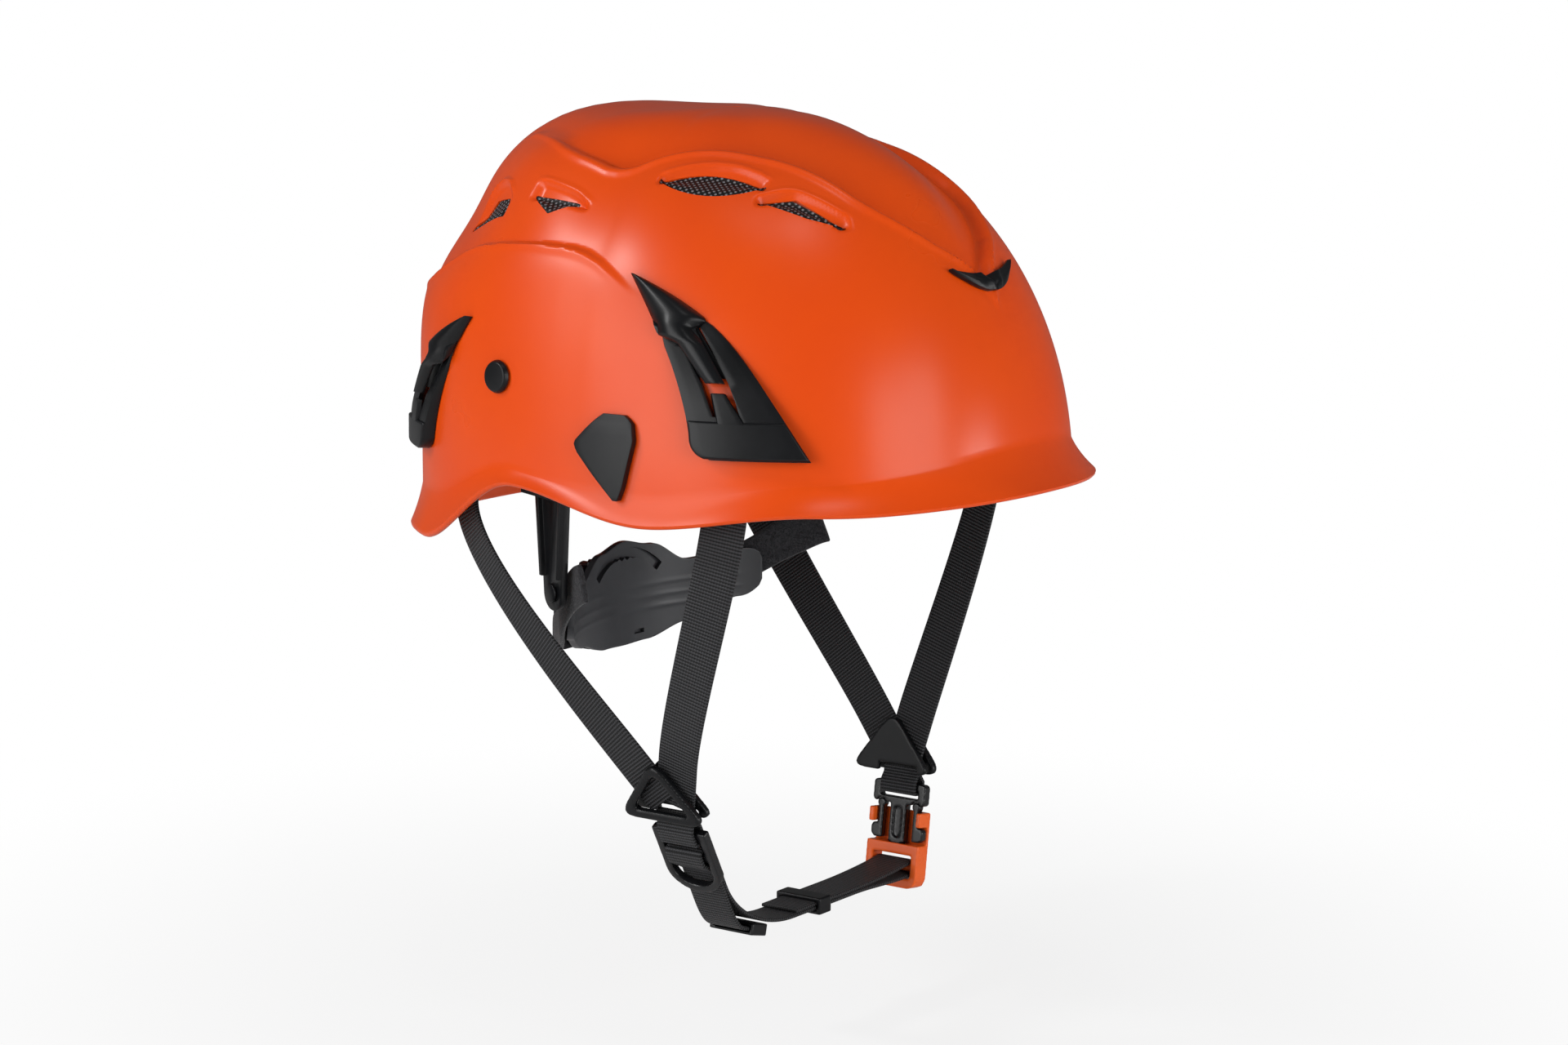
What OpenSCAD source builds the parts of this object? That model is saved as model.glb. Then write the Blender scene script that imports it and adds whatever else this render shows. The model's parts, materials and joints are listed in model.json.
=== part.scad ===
// Climbing helmet: moulded shell, foam liner, size-wheel headband and chin harness.
// Front faces -Y, up is +Z, the wearer's left is +X. All sizes in millimetres.

/* [Shell] */
// Half of the dome's width
shell_half_width = 105.5; // [98:0.5:114]
// Reach of the dome in front of the centre
shell_front = 132; // [124:0.5:142]
// Reach of the dome behind the centre
shell_rear = 131; // [124:0.5:142]
// Height of the crown above the wearing plane
crown_height = 145; // [136:1:156]
// Squareness of the dome seen from above
plan_power = 2.23; // [2.1:0.01:2.4]
// Thickness of the moulded wall
shell_wall = 3; // [2.5:0.25:4]
// Outward flare of the front brim
brim_flare = 13; // [6:0.5:18]
// Outward flare of the rim beside the ears
side_flare = 3.5; // [2:0.5:6]
// Outward flare of the rim at the nape
nape_flare = 5; // [2:0.5:9]
// Height of the rim at the forehead
rim_front = 8.5; // [4:0.5:14]
// Height of the rim at the temples
rim_temple = -2.5; // [-6:0.5:2]
// Height of the rim above the ears
rim_ear = 7.5; // [3:0.5:11]
// Height of the rim at the nape
rim_nape = -23; // [-28:0.5:-16]
// Depth of the sunk top plate
trough_depth = 4.5; // [1:0.5:6]
// Depth of the hollow rear quarters
hollow_depth = 7.5; // [2:0.5:9]
// Step of the rear shoulder line
shoulder_step = 2.5; // [0.5:0.25:4]

/* [Vents] */
// Length of the long front vent
long_vent_length = 38.5; // [30:0.5:44]
// Height of the long front vent
long_vent_height = 11; // [7:0.5:13]
// Corner radius of the smaller vents
vent_corner = 0.8; // [0.4:0.1:1.6]
// Thickness of the vent mesh
mesh_thickness = 0.7; // [0.4:0.1:1.2]

/* [Liner and pads] */
// Gap between the shell and the liner
liner_gap = 2.6; // [2.4:0.1:3.4]
// Thickness of the foam liner
liner_thickness = 12; // [9:0.5:15]
// Thickness of the crown pad
crown_pad_thickness = 6; // [4:0.5:9]
// Thickness of the brow pad
brow_pad_thickness = 5; // [3:0.5:7]
// Height of the brow band
brow_band_height = 24; // [18:1:30]

/* [Lamp clips] */
// Height of a front lamp clip from its foot to its tip
clip_height = 65.5; // [58:0.5:72]
// Reach of the toe in front of the strap gap
clip_toe = 31.5; // [26:0.5:36]
// Reach of the heel behind the strap gap
clip_heel = 12.3; // [9:0.1:15]
// Reach of the leaning tip behind the strap gap
clip_tip = 38; // [32:0.5:40]
// Size of a rear lamp clip against a front one
rear_clip_scale = 0.84; // [0.7:0.01:0.9]
// Further lean of a rear lamp clip toward the front, as a share of its height
rear_clip_lean = 0.16; // [0:0.01:0.2]
// Space for the lamp strap under a clip's tongue
lamp_strap_space = 3.6; // [2.5:0.1:5]
// Thickness of a clip's side wings
clip_wing = 2.4; // [1.6:0.1:3]
// Thickness of a clip's tongue
clip_tongue = 3; // [2:0.1:4]

/* [Sockets and plugs] */
// Radius of the round side plugs
plug_radius = 6.5; // [5:0.25:8]
// Height of the side plugs above the wearing plane
plug_height = 47.5; // [42:0.5:52]
// Pull-off travel of a visor cover
cover_travel = 10; // [8:0.5:14]
// Radius of a visor cover's stem
cover_stem_radius = 4; // [3:0.25:5]

/* [Headband] */
// Distance of the nape cradle's oval inside the dome's half width
cradle_inset = 25.5; // [23.5:0.5:28.5]
// Reach of that oval behind its centre
cradle_reach = 62; // [58:0.5:66]
// Height of the nape cradle's middle
nape_height = -50; // [-54:0.5:-46]
// Drop of the size wheel's axis below the cradle's middle
hub_drop = 9; // [7:0.5:10]
// Thickness of the nape cradle
cradle_thickness = 2.6; // [2:0.1:3.2]
// Radius of the size wheel
dial_radius = 17.5; // [16.5:0.5:19]
// Width of the size wheel's rim
dial_width = 9; // [6:0.5:12]
// Module of the size wheel's gear teeth
gear_module = 1.25; // [1.1:0.05:1.4]
// Teeth on the size wheel's pinion
gear_teeth = 12; // [12:1:12]
// Width of a height arm in its guide
arm_width = 22; // [18:0.5:24]
// Thickness of a height arm
arm_thickness = 2.4; // [2:0.1:3]
// Height travel of the nape cradle each way
nape_travel = 6; // [4:0.5:7]

/* [Harness] */
// Width of the webbing
strap_width = 17; // [14:0.5:18]
// Thickness of the webbing
strap_thickness = 1.4; // [1:0.1:1.6]
// Distance of the strap dividers from the middle
divider_x = 79; // [76:0.5:84]
// Plane of the chin harness in front of the centre
harness_y = -24; // [-30:0.5:-18]
// Height of the left divider
divider_left_z = -119; // [-122:0.5:-116]
// Height of the right divider
divider_right_z = -107; // [-110:0.5:-104]
// Lean of the left divider, its top outwards
divider_left_lean = 3; // [0:0.5:6]
// Lean of the right divider, its top outwards
divider_right_lean = 18; // [14:0.5:22]
// Rearward shift of the dividers against the chin harness
divider_shift = 3.5; // [2:0.5:5]
// Width of a strap divider's base
divider_width = 34; // [32:0.5:36]
// Height of a strap divider
divider_height = 22.5; // [21.5:0.5:25]
// Width of a divider ring's bars
divider_bar = 2.6; // [2:0.1:3]
// Height of the chin strap's lowest run
chin_z = -170; // [-174:0.5:-168]
// Lean of the buckle from upright
buckle_lean = 8; // [6:0.5:10]
// Lean of the strap adjuster from upright
adjuster_lean = 28; // [24:0.5:32]
// Width of the buckle
buckle_width = 25; // [24:0.5:28]
// Thickness of the buckle's female half
buckle_thickness = 8; // [7:0.25:10]
// Length of the strap adjuster's pull loop
pull_loop = 17; // [14:0.5:19]

/* [Clearances] */
// Gap between pieces that sit against each other
seat = 0.3; // [0.3:0.05:0.5]
// Radial gap of a shaft in its bore
running = 0.05; // [0.03:0.01:0.1]

/* [Hidden] */
$fn = 40;
around = 60;
liner_around = 44;
dome_rings = 18;
inner_rings = 8;
facet_play = 0.7;
cradle_half_width = shell_half_width - cradle_inset;
hub_z = nape_height - hub_drop;
clip_ref_t = 58;
clip_ref_z = 49.3;
rear_clip_t = 140;
rear_clip_z = 34;
cover_t = 81;
cover_z = 24;
orange = [0.89, 0.30, 0.10];
black = [0.13, 0.13, 0.14];
foam = [0.22, 0.22, 0.23];
webbing = [0.09, 0.09, 0.10];

// Interpolation
function lerp(a, b, s) = a + (b - a) * s;
function clamp01(s) = min(1, max(0, s));
function ease(s) = let(c = clamp01(s)) c * c * (3 - 2 * c);
function unit(v) = v / norm(v);
function fold(t) = let(m = ((t % 360) + 360) % 360) m > 180 ? 360 - m : m;
function flat(lists) = [for (list = lists) for (item = list) item];
function eased(table, a) =
    a <= table[0][0] ? table[0][1] :
    a >= table[len(table) - 1][0] ? table[len(table) - 1][1] :
    let(i = max([for (k = [0:len(table) - 2]) table[k][0] <= a ? k : 0]))
    lerp(table[i][1], table[i + 1][1], ease((a - table[i][0]) / (table[i + 1][0] - table[i][0])));

// Dome: a superellipse in plan, with a profile that gets fuller towards the rear
function fullness(t) = eased([[0, 2.22], [45, 2.05], [90, 2.35], [135, 3.2], [180, 3.3]], fold(t));
function plan_radius(t) =
    let(reach = cos(t) > 0 ? shell_front : shell_rear)
    pow(pow(abs(sin(t)) / shell_half_width, plan_power) + pow(abs(cos(t)) / reach, plan_power),
        -1 / plan_power);
function profile(t, a) =
    let(n = fullness(t), r = plan_radius(t))
    a <= 0 ? [r, crown_height * tan(a)] :
    let(s = pow(pow(cos(a), n) + pow(sin(a), n), -1 / n))
    [r * s * cos(a), crown_height * s * sin(a)];
function profile_normal(t, a) =
    a <= 0 ? [1, 0] :
    let(n = fullness(t), r = plan_radius(t), p = profile(t, a))
    unit([pow(max(p.x, 0) / r, n - 1) / r, pow(p.y / crown_height, n - 1) / crown_height]);
function angle_at(t, z) =
    z <= 0 ? atan(z / crown_height) :
    let(n = fullness(t), h = min(0.999, z / crown_height))
    atan2(h, pow(1 - pow(h, n), 1 / n));

// Relief of the dome: sunk top plate, hollow rear quarters, rear shoulder line
function trough_half(y) = lookup(y, [[-124, -7], [-112, 0], [-106, 13], [-95, 23.8], [-80, 32.9], [-60, 35.8],
    [-46, 38.3], [-28, 43.7], [-15, 51], [2, 61.9], [9, 65.9], [33, 63.9], [44, 58.9], [69, 41.5]]);
function trough(x, y, soft) = y > 70 ? 0 :
    -trough_depth * (1 - ease((y + 10) / 70)) * ease((trough_half(y) + soft - abs(x)) / (5 + soft));
function hollow(t, z) =
    -hollow_depth * exp(-pow((fold(t) - 144.5) / 26, 2)) * exp(-pow((z - 0.7241 * crown_height) / 22, 2));
function shoulder_z(t) = crown_height * lookup(fold(t), [[86, 0.6207], [90, 0.6462], [95, 0.6669],
    [102.5, 0.6759], [115.5, 0.6807], [132.5, 0.6579], [141, 0.5766], [155, 0.5103], [180, 0.4828]]);
function shoulder(t, z) =
    let(below = shoulder_z(t) - z)
    shoulder_step * ease(below / 3.5) * (1 - ease(below / 60)) * ease((fold(t) - 82) / 8);
function relief(t, p, soft) =
    p.y < 20 ? 0 : trough(p.x * sin(t), -p.x * cos(t), soft) + hollow(t, p.y) + shoulder(t, p.y);

// Point on the dome at plan angle t and profile angle a, moved out by off. The relief's edges widen by soft
function on_dome(t, a, off, soft = 0) =
    let(p = profile(t, a), m = profile_normal(t, a), d = off + relief(t, p, soft))
    [(p.x + d * m.x) * sin(t), -(p.x + d * m.x) * cos(t), p.y + d * m.y];
// Point at x rearward and y upward along the dome from the point at t, z
function near_shell(t, z, x, y, off) =
    let(a0 = angle_at(t, z),
        step_a = norm(on_dome(t, a0 + 1, 0) - on_dome(t, a0 - 1, 0)) / 2,
        a = a0 + y / step_a,
        step_t = norm(on_dome(t + 1, a, 0) - on_dome(t - 1, a, 0)) / 2)
    on_dome(t + x / step_t, a, off);

// Rim and lip
function rim_z(t) = eased([[0, rim_front], [42, (rim_front + rim_temple) / 2 + 2], [74, rim_temple],
    [106, rim_ear], [136, rim_nape + 2.5], [180, rim_nape]], fold(t));
function crease_z(t) = rim_z(t) + eased([[0, 17], [45, 11], [75, 10], [102, 5.5], [134, 18], [180, 16]],
    fold(t));
function flare(t) = eased([[0, brim_flare], [30, brim_flare * 0.7], [70, side_flare], [105, side_flare],
    [140, nape_flare], [180, nape_flare]], fold(t));
function lip(t, h, inset) =
    let(zc = crease_z(t), p = on_dome(t, angle_at(t, zc), -inset),
        r = norm([p.x, p.y]) + flare(t) * pow(h, 1.6))
    [r * sin(t), -r * cos(t), lerp(p.z, rim_z(t), h)];

// Closed solid through a list of loops. Seen along the travel, each loop runs counter-clockwise
module skin(rings, strip = false) {
    m = len(rings[0]);
    last = len(rings) - 1;
    h = m / 2 - 2;
    sides = [for (i = [0:last - 1]) for (j = [0:m - 1])
        let(k = (j + 1) % m)
        each [[i * m + j, i * m + k, (i + 1) * m + k], [i * m + j, (i + 1) * m + k, (i + 1) * m + j]]];
    start = strip ?
        [for (c = [0:h]) each [[m - 1 - c, m - 2 - c, c + 1], [m - 1 - c, c + 1, c]]] :
        [[for (j = [m - 1:-1:0]) j]];
    end = strip ?
        [for (c = [0:h]) each [[last * m + c, last * m + c + 1, last * m + m - 2 - c],
            [last * m + c, last * m + m - 2 - c, last * m + m - 1 - c]]] :
        [[for (j = [0:m - 1]) last * m + j]];
    polyhedron(points = flat(rings), faces = concat(sides, start, end), convexity = 8);
}
function loop(t_count, f) = [for (j = [0:t_count - 1]) f(j * 360 / t_count)];
// Frame on the dome: its origin, rearward, up along it, outward
function shell_axes(t, z) =
    let(e1 = unit(near_shell(t, z, 2, 0, 0) - near_shell(t, z, -2, 0, 0)),
        e2 = unit(near_shell(t, z, 0, 2, 0) - near_shell(t, z, 0, -2, 0)),
        n = unit(cross(e1, e2)))
    [near_shell(t, z, 0, 0, 0), e1, cross(n, e1), n];
function from_shell(t, z, p) = let(f = shell_axes(t, z)) f[0] + p.x * f[1] + p.y * f[2] + p.z * f[3];
module on_shell(t, z) {
    f = shell_axes(t, z);
    multmatrix(concat([for (i = [0:2]) [f[1][i], f[2][i], f[3][i], f[0][i]]], [[0, 0, 0, 1]])) children();
}
module sided(left) mirror([left ? 0 : 1, 0, 0]) children();
// Slab that follows the dome. Each row is [y, first x, last x, top offset]
module patch(t, z, rows, cols, low, bevel) {
    skin([for (row = rows) concat(
        [for (c = [0:cols]) near_shell(t, z, lerp(row[1], row[2], c / cols), row[0], low)],
        [for (c = [cols:-1:0])
            near_shell(t, z, lerp(row[1] + bevel, row[2] - bevel, c / cols), row[0], row[3])])], true);
}

// Vent outlines, about their own centres
function lens(length, up, down) = concat(
    [for (i = [-6:6]) [i * length / 12, down * (pow(i / 6, 2) - 1)]],
    [for (i = [5:-1:-5]) [i * length / 12, up * (1 - pow(i / 6, 2))]]);
small_vent = [[13.5, 4.4], [1.1, 5], [-15, -10.5], [-3, -4.5]];
side_vent = [[10.2, 0.8], [-9.8, 2.3], [-0.2, -3]];
quarter_vent = [[14.5, -9], [4, 3.8], [-7.8, 5.5], [-11, -0.8]];
long_vent = lens(long_vent_length, long_vent_height * 0.41, long_vent_height * 0.59);
vents = [[64.6, 0.8262 * crown_height, long_vent], [39.2, 0.7724 * crown_height, small_vent],
    [111.6, 0.7662 * crown_height, side_vent], [134.5, 0.7531 * crown_height, quarter_vent]];
module vent_cut(vent, grow, low, high)
    on_shell(vent[0], vent[1])
        translate([0, 0, low]) linear_extrude(high - low)
            hull() for (p = vent[2]) translate(p) circle(vent_corner + grow, $fn = 8);

function shell_dome(off, rings) = [for (k = [rings:-1:0])
    [for (j = [0:around - 1]) let(t = j * 360 / around)
        on_dome(t, lerp(angle_at(t, crease_z(t)), 90, 0.985 * k / rings), off)]];
function shell_lip(h, inset) = [for (j = [0:around - 1]) lip(j * 360 / around, h, inset)];
module cover_socket(grow)
    on_shell(cover_t, cover_z)
        translate([0, 0, -shell_wall - 6]) linear_extrude(shell_wall + 16)
            hull() for (x = [-3, 3]) translate([x, 0]) circle(cover_stem_radius + grow, $fn = 24);

module outer_shell() color(orange) difference() {
    skin(concat(
        shell_dome(0, dome_rings),
        [for (h = [0.35, 0.7, 0.94]) shell_lip(h, 0)],
        [shell_lip(1, shell_wall * 0.3), shell_lip(1, shell_wall * 0.8)],
        [for (h = [0.94, 0.5]) shell_lip(h, shell_wall)],
        [for (k = [0:inner_rings]) [for (j = [0:around - 1]) let(t = j * 360 / around)
            on_dome(t, lerp(angle_at(t, crease_z(t)), 90, 0.985 * k / inner_rings), -shell_wall)]]));
    for (left = [true, false]) sided(left) {
        for (vent = vents) vent_cut(vent, 0, -14, 12);
        cover_socket(seat);
        plug_bore(plug_stem_radius + seat);
    }
}

// Foam liner, with openings behind the vents and pockets for the height arms
vent_margin = 4;
function liner_edge(t) = eased([[0, 34], [42, 30], [74, 25], [106, 33], [128, 19], [150, -2], [180, -6]],
    fold(t));
liner_out = shell_wall + liner_gap;
liner_in = liner_out + liner_thickness;
liner_soft = 6;
function liner_ring(s, off) = [for (j = [0:liner_around - 1]) let(t = j * 360 / liner_around)
    on_dome(t, lerp(angle_at(t, liner_edge(t)), 90, s), -off, liner_soft)];
// Point at height z on a wall parallel to the liner, off inside the dome
function liner_point(t, z, off) = on_dome(t, angle_at(t, z), -off, liner_soft);
function wall_at(t, z, off) =
    let(a = 2 * z - liner_point(t, z, off).z, b = a + z - liner_point(t, a, off).z)
    liner_point(t, b, off);
module inner_liner() color(foam) difference() {
    skin(concat(
        [for (k = [inner_rings:-1:0]) liner_ring(0.985 * k / inner_rings, liner_out)],
        [for (k = [0:inner_rings]) liner_ring(0.985 * k / inner_rings, liner_in)]));
    for (left = [true, false]) sided(left) {
        for (vent = vents) vent_cut(vent, vent_margin, -40, 4);
        plug_bore(plug_stem_radius + seat);
        arm_pocket();
    }
}

// Soft pads: crowned, drawn in at their edges, with channels across
function angle_out(t, r) = let(n = fullness(t), c = r / plan_radius(t)) atan2(pow(1 - pow(c, n), 1 / n), c);
function pad_edge(t) = 44 * (1 + 0.16 * cos(4 * t)) * (1 + 0.12 * pow(cos(t), 2));
function pad_ring(s, drop) = [for (j = [0:35]) let(t = j * 10)
    on_dome(t, angle_out(t, max(0.6, s * pad_edge(t))), -liner_in - seat - facet_play - drop, liner_soft)];
module crown_pad() color(foam) skin(concat(
    [for (s = [0, 0.4, 0.75, 0.93]) pad_ring(s, 0)],
    [pad_ring(1, crown_pad_thickness * 0.3)],
    [for (s = [0.97, 0.85, 0.6, 0.3, 0])
        pad_ring(s, crown_pad_thickness * (1 - 0.55 * pow(s, 5))
            * (1 - 0.28 * exp(-pow((s - 0.5) / 0.12, 2))))]));
brow_off = liner_in + seat + facet_play;
function brow_z(t) = lerp(25, 44, ease((fold(t) - 30) / 75));
function brow_ring(t, height, low, high) =
    let(z = brow_z(t), top = z + brow_band_height / 2, p = wall_at(t, top, low), q = wall_at(t, top, high))
    [[p.x, p.y, z - height / 2], [p.x, p.y, z + height / 2], [q.x, q.y, z + height / 2],
     [q.x, q.y, z - height / 2]];
band_thickness = 1.6;
module brow_band() color(black)
    skin([for (t = [-92:4:92]) brow_ring(t, brow_band_height * (1 - 0.3 * ease((fold(t) - 70) / 20)),
        brow_off + band_thickness, brow_off)]);
function brow_pad_ring(t) =
    let(z = brow_z(t), half = brow_band_height * 0.62 * (1 - 0.55 * pow(fold(t) / 66, 8)),
        swell = brow_pad_thickness * (1 - 0.4 * pow(abs(cos(t * 7.5)), 24))
            * (1 - 0.5 * pow(fold(t) / 66, 8)))
    [for (v = [[-0.94, 0], [-1, 0.3], [-0.86, 0.7], [-0.45, 0.96], [0, 1], [0.45, 0.96], [0.86, 0.7],
               [1, 0.3], [0.94, 0]])
        let(p = wall_at(t, z + brow_band_height / 2, brow_off + band_thickness + seat + swell * v[1]))
        [p.x, p.y, z + half * v[0]]];
module brow_pad() color(foam) skin([for (t = [-66:3:66]) brow_pad_ring(t)]);

// Mesh panels behind the vents. Two panels of one piece reach mesh_lap further to meet
mesh_lap = 1.5;
module mesh_panel(vent, rows)
    patch(vent[0], vent[1], [for (row = rows) [row[0], row[1], row[2], -shell_wall - seat - facet_play]], 6,
        -shell_wall - seat - facet_play - mesh_thickness, 0);
function long_row(y) =
    let(x = long_vent_length / 2 * sqrt(1 - pow(y / (long_vent_height * 0.9), 2)) + 2)
    [y, -x - mesh_lap, x];
module vent_mesh_front(left) color(black) sided(left) {
    mesh_panel(vents[0], [for (f = [-0.72, -0.5, -0.1, 0.3, 0.56]) long_row(f * long_vent_height)]);
    mesh_panel(vents[1], [[-12.5, -18, -12], [-8, -15, -4], [-3, -10, 5 + mesh_lap], [2, -5.5, 13 + mesh_lap],
        [5, -2.5, 15.5 + mesh_lap], [7, -1, 13 + mesh_lap]]);
}
module vent_mesh_rear(left) color(black) sided(left) {
    mesh_panel(vents[2], [[-5, -3, 3], [-1, -9.5, 8.5], [2.5, -12, 11.5], [4.5, -12, 10]]);
    mesh_panel(vents[3], [[-11, 9, 17.5], [-6, 0, 16], [-0.8, -13, 12], [4, -11, 7], [7.5, -9.5, 0]]);
}
module vent_mesh_front_left() vent_mesh_front(true);
module vent_mesh_front_right() vent_mesh_front(false);
module vent_mesh_rear_left() vent_mesh_rear(true);
module vent_mesh_rear_right() vent_mesh_rear(false);

// Crescent at the front end of the sunk top plate
module front_trim() color(black) skin([for (i = [-10:10])
    let(x = i * 1.9, f = pow(i / 10, 2), low = -6.6 + 10.4 * f, high = 0.8 + 3.8 * f)
    [for (v = [[high, 0.9], [low, 0.9], [low, 2.4], [lerp(low, high, 0.4), 3.2], [high, 1.8]])
        near_shell(0, 86, x, v[0], v[1])]]);

// Lamp clips: wings on the shell, a raised foot with its tab, and a raised tongue down from the tip
// The outline is drawn clip_draw tall and brought to clip_height by clip_rise
clip_draw = 73;
clip_rise = clip_height / clip_draw;
clip_foot = 28;
function clip_front(y) = let(f = clamp01((y + clip_foot) / clip_draw))
    -clip_toe + (clip_toe + clip_tip - 1.2) * (0.6 * f + 0.4 * pow(f, 6));
function clip_rear(y) =
    y < -20 ? clip_heel - 8 + sqrt(max(0, 64 - pow(y + 20, 2))) :
    clip_heel + (clip_tip - clip_heel) * pow((y + 20) / (clip_draw - 8), 1.5);
clip_top = lamp_strap_space + clip_tongue;
module clip_peg(p, r) translate([p.x, p.y, -6]) cylinder(r = r, h = 24, $fn = 8);
module clip_slot(path, r) for (i = [0:len(path) - 2]) hull() {
    clip_peg(path[i], r);
    clip_peg(path[i + 1], r);
}
module lamp_clip(t, z, k, way, lean) {
    y_tip = clip_draw - clip_foot;
    difference() {
        patch(t, z, [for (i = [0:11]) let(y = lerp(-clip_foot, y_tip, i / 11))
            clip_row(y, clip_front(y), clip_rear(y), clip_wing, k, way, lean)], 4, seat, 0.5);
        on_shell(t, z) scale([k * way, k * clip_rise, 1]) clip_shear(lean) {
            clip_slot([[17, 18.6], [10.5, 7.5], [5.5, -1.5], [2.2, -10.5]], 0.9);
            clip_slot([[10, 24.5], [5, 13.5], [0.5, 4], [-4, -5.5], [-7.4, -12.4]], 1.2);
            hull() for (p = [[16.4, 19], [10.4, 23.6], [-6.6, -11.6], [2, -10]]) clip_peg(p, 0.6);
        }
    }
    patch(t, z, [for (i = [0:3]) let(y = lerp(-clip_foot, -12.9, i / 3))
        clip_row(y, clip_front(y) + 0.6, clip_rear(y) - 0.6, clip_top * 0.86, k, way, lean)], 4, seat, 1.2);
    patch(t, z, [for (i = [0:2]) let(y = lerp(-14, -1.5, i / 2))
        clip_row(y, lerp(-7.4, -1.6, i / 2), lerp(0.8, 4, i / 2), clip_top * 0.94, k, way, lean)], 2,
        lamp_strap_space, 0.6);
    patch(t, z, [for (i = [0:5]) let(y = lerp(2.2, 27, i / 5))
        clip_row(y, lerp(-1, 12.4, i / 5), lerp(6.2, 22, i / 5), clip_top, k, way, lean)], 2,
        lamp_strap_space, 1);
    patch(t, z, [for (i = [0:5]) let(y = lerp(25.5, y_tip - 1, i / 5), s = i / 5)
        clip_row(y, clip_front(y) + 0.4, clip_rear(y) - 0.4, lerp(clip_top, clip_wing + 0.6, s), k, way,
            lean)], 2, seat, 0.9);
}
module clip_shear(lean) multmatrix([[1, lean, 0, lean * clip_foot], [0, 1, 0, 0], [0, 0, 1, 0], [0, 0, 0, 1]])
    children();
function clip_row(y, x0, x1, top, k, way, lean) = let(x = lean * (y + clip_foot))
    way > 0 ? [y * k * clip_rise, (x0 + x) * k, (x1 + x) * k, top] :
    [y * k * clip_rise, -(x1 + x) * k, -(x0 + x) * k, top];
module lamp_clip_front(left) color(black) sided(left) lamp_clip(clip_ref_t, clip_ref_z, 1, 1, 0);
module lamp_clip_rear(left) color(black) sided(left)
    lamp_clip(rear_clip_t, rear_clip_z, rear_clip_scale, -1, rear_clip_lean);
module lamp_clip_front_left() lamp_clip_front(true);
module lamp_clip_front_right() lamp_clip_front(false);
module lamp_clip_rear_left() lamp_clip_rear(true);
module lamp_clip_rear_right() lamp_clip_rear(false);

// Visor socket covers: a shield that follows the shell, with a stem in its socket
function cover_x0(y) = lookup(y, [[-17, -4.5], [-12, -6.5], [5, -10.5], [12, -9.5], [14.5, -6]]);
function cover_x1(y) = lookup(y, [[-17, -1.5], [-8, 7.5], [0, 15], [2.5, 16], [4, 15.5], [12.5, 7],
    [14.5, 4]]);
module visor_cover(left) color(black) sided(left) {
    patch(cover_t, cover_z, [for (y = [-17, -15, -12, -8, -4, 0, 2.5, 4, 8, 12, 14.5])
        [y, cover_x0(y), cover_x1(y), 3 - 1.2 * ease((y - 8) / 6)]], 6, seat, 0.8);
    on_shell(cover_t, cover_z)
        translate([0, 0, -shell_wall - 2]) linear_extrude(shell_wall + 4)
            hull() for (x = [-3, 3]) translate([x, 0]) circle(cover_stem_radius, $fn = 24);
}
module visor_cover_left() visor_cover(true);
module visor_cover_right() visor_cover(false);

// Nape oval: the cradle, the racks and the side bands follow it
oval_y = -2;
function oval(q, off) =
    let(n = unit([cradle_reach * sin(q), cradle_half_width * cos(q)]))
    [cradle_half_width * sin(q) + off * n.x, oval_y + cradle_reach * cos(q) + off * n.y];
hub_y = oval_y + cradle_reach;
band_start = 23;
band_end = 76;
pin_q = 62;
band_rise = 19;
side_band_thickness = 2.6;
function side_band_off(q) = lerp(10.4, cradle_thickness / 2 + 0.6 + side_band_thickness / 2,
    ease((q - band_start) / 21));
function side_band_z(q, left) =
    lerp(hub_z + (left ? 3.6 : -3.6), nape_height + band_rise, ease((q - 26) / 54));
function side_band_half(q) = lerp(7.4, 8.8, ease((q - 28) / 14)) - 1.2 * ease((q - 66) / 10);
pin_at = oval(pin_q, side_band_off(pin_q) + side_band_thickness / 2);
arm_t = atan2(pin_at.x, -pin_at.y);
pin_z = side_band_z(pin_q, true);
module side_band(left) color(foam) sided(left)
    skin([for (q = [band_start:3.3125:band_end])
        let(i = oval(q, side_band_off(q) - side_band_thickness / 2),
            o = oval(q, side_band_off(q) + side_band_thickness / 2),
            z = side_band_z(q, left), h = side_band_half(q), m = (i + o) / 2)
        [[i.x, i.y, z - h * 0.9], [i.x, i.y, z + h * 0.9], [m.x, m.y, z + h], [o.x, o.y, z + h * 0.9],
         [o.x, o.y, z - h * 0.9], [m.x, m.y, z - h]]]);
module side_band_left() side_band(true);
module side_band_right() side_band(false);

// Height arms, their guides and fastenings. Frame: x outward, y rearward, z up
plug_stem_radius = 2.5;
shell_at_plug = let(p = on_dome(arm_t, angle_at(arm_t, plug_height), 0)) norm([p.x, p.y]);
liner_at_plug = let(p = wall_at(arm_t, plug_height, liner_in)) norm([p.x, p.y]);
guide_plate = 2.2;
guide_out = liner_at_plug - 2.2;
arm_out = guide_out - guide_plate - seat;
arm_in = arm_out - arm_thickness;
guide_half = 14;
module arm_frame(left) sided(left) rotate([0, 0, arm_t - 90]) children();
module upright(low, high) translate([low, 0, 0]) rotate([90, 0, 90]) linear_extrude(high - low) children();
module along_x(low, high, r) translate([low, 0, 0]) rotate([0, 90, 0]) cylinder(r = r, h = high - low);
module plug_bore(r) rotate([0, 0, arm_t - 90]) translate([0, 0, plug_height]) hull() {
    translate([liner_at_plug - 12, 0, 0]) rotate([0, 90, 0]) cylinder(r = r, h = 1, $fn = 24);
    translate([shell_at_plug + 12, 0, 0]) rotate([0, 90, 0]) cylinder(r = r, h = 1, $fn = 24);
}
plug_head = 2;
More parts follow.
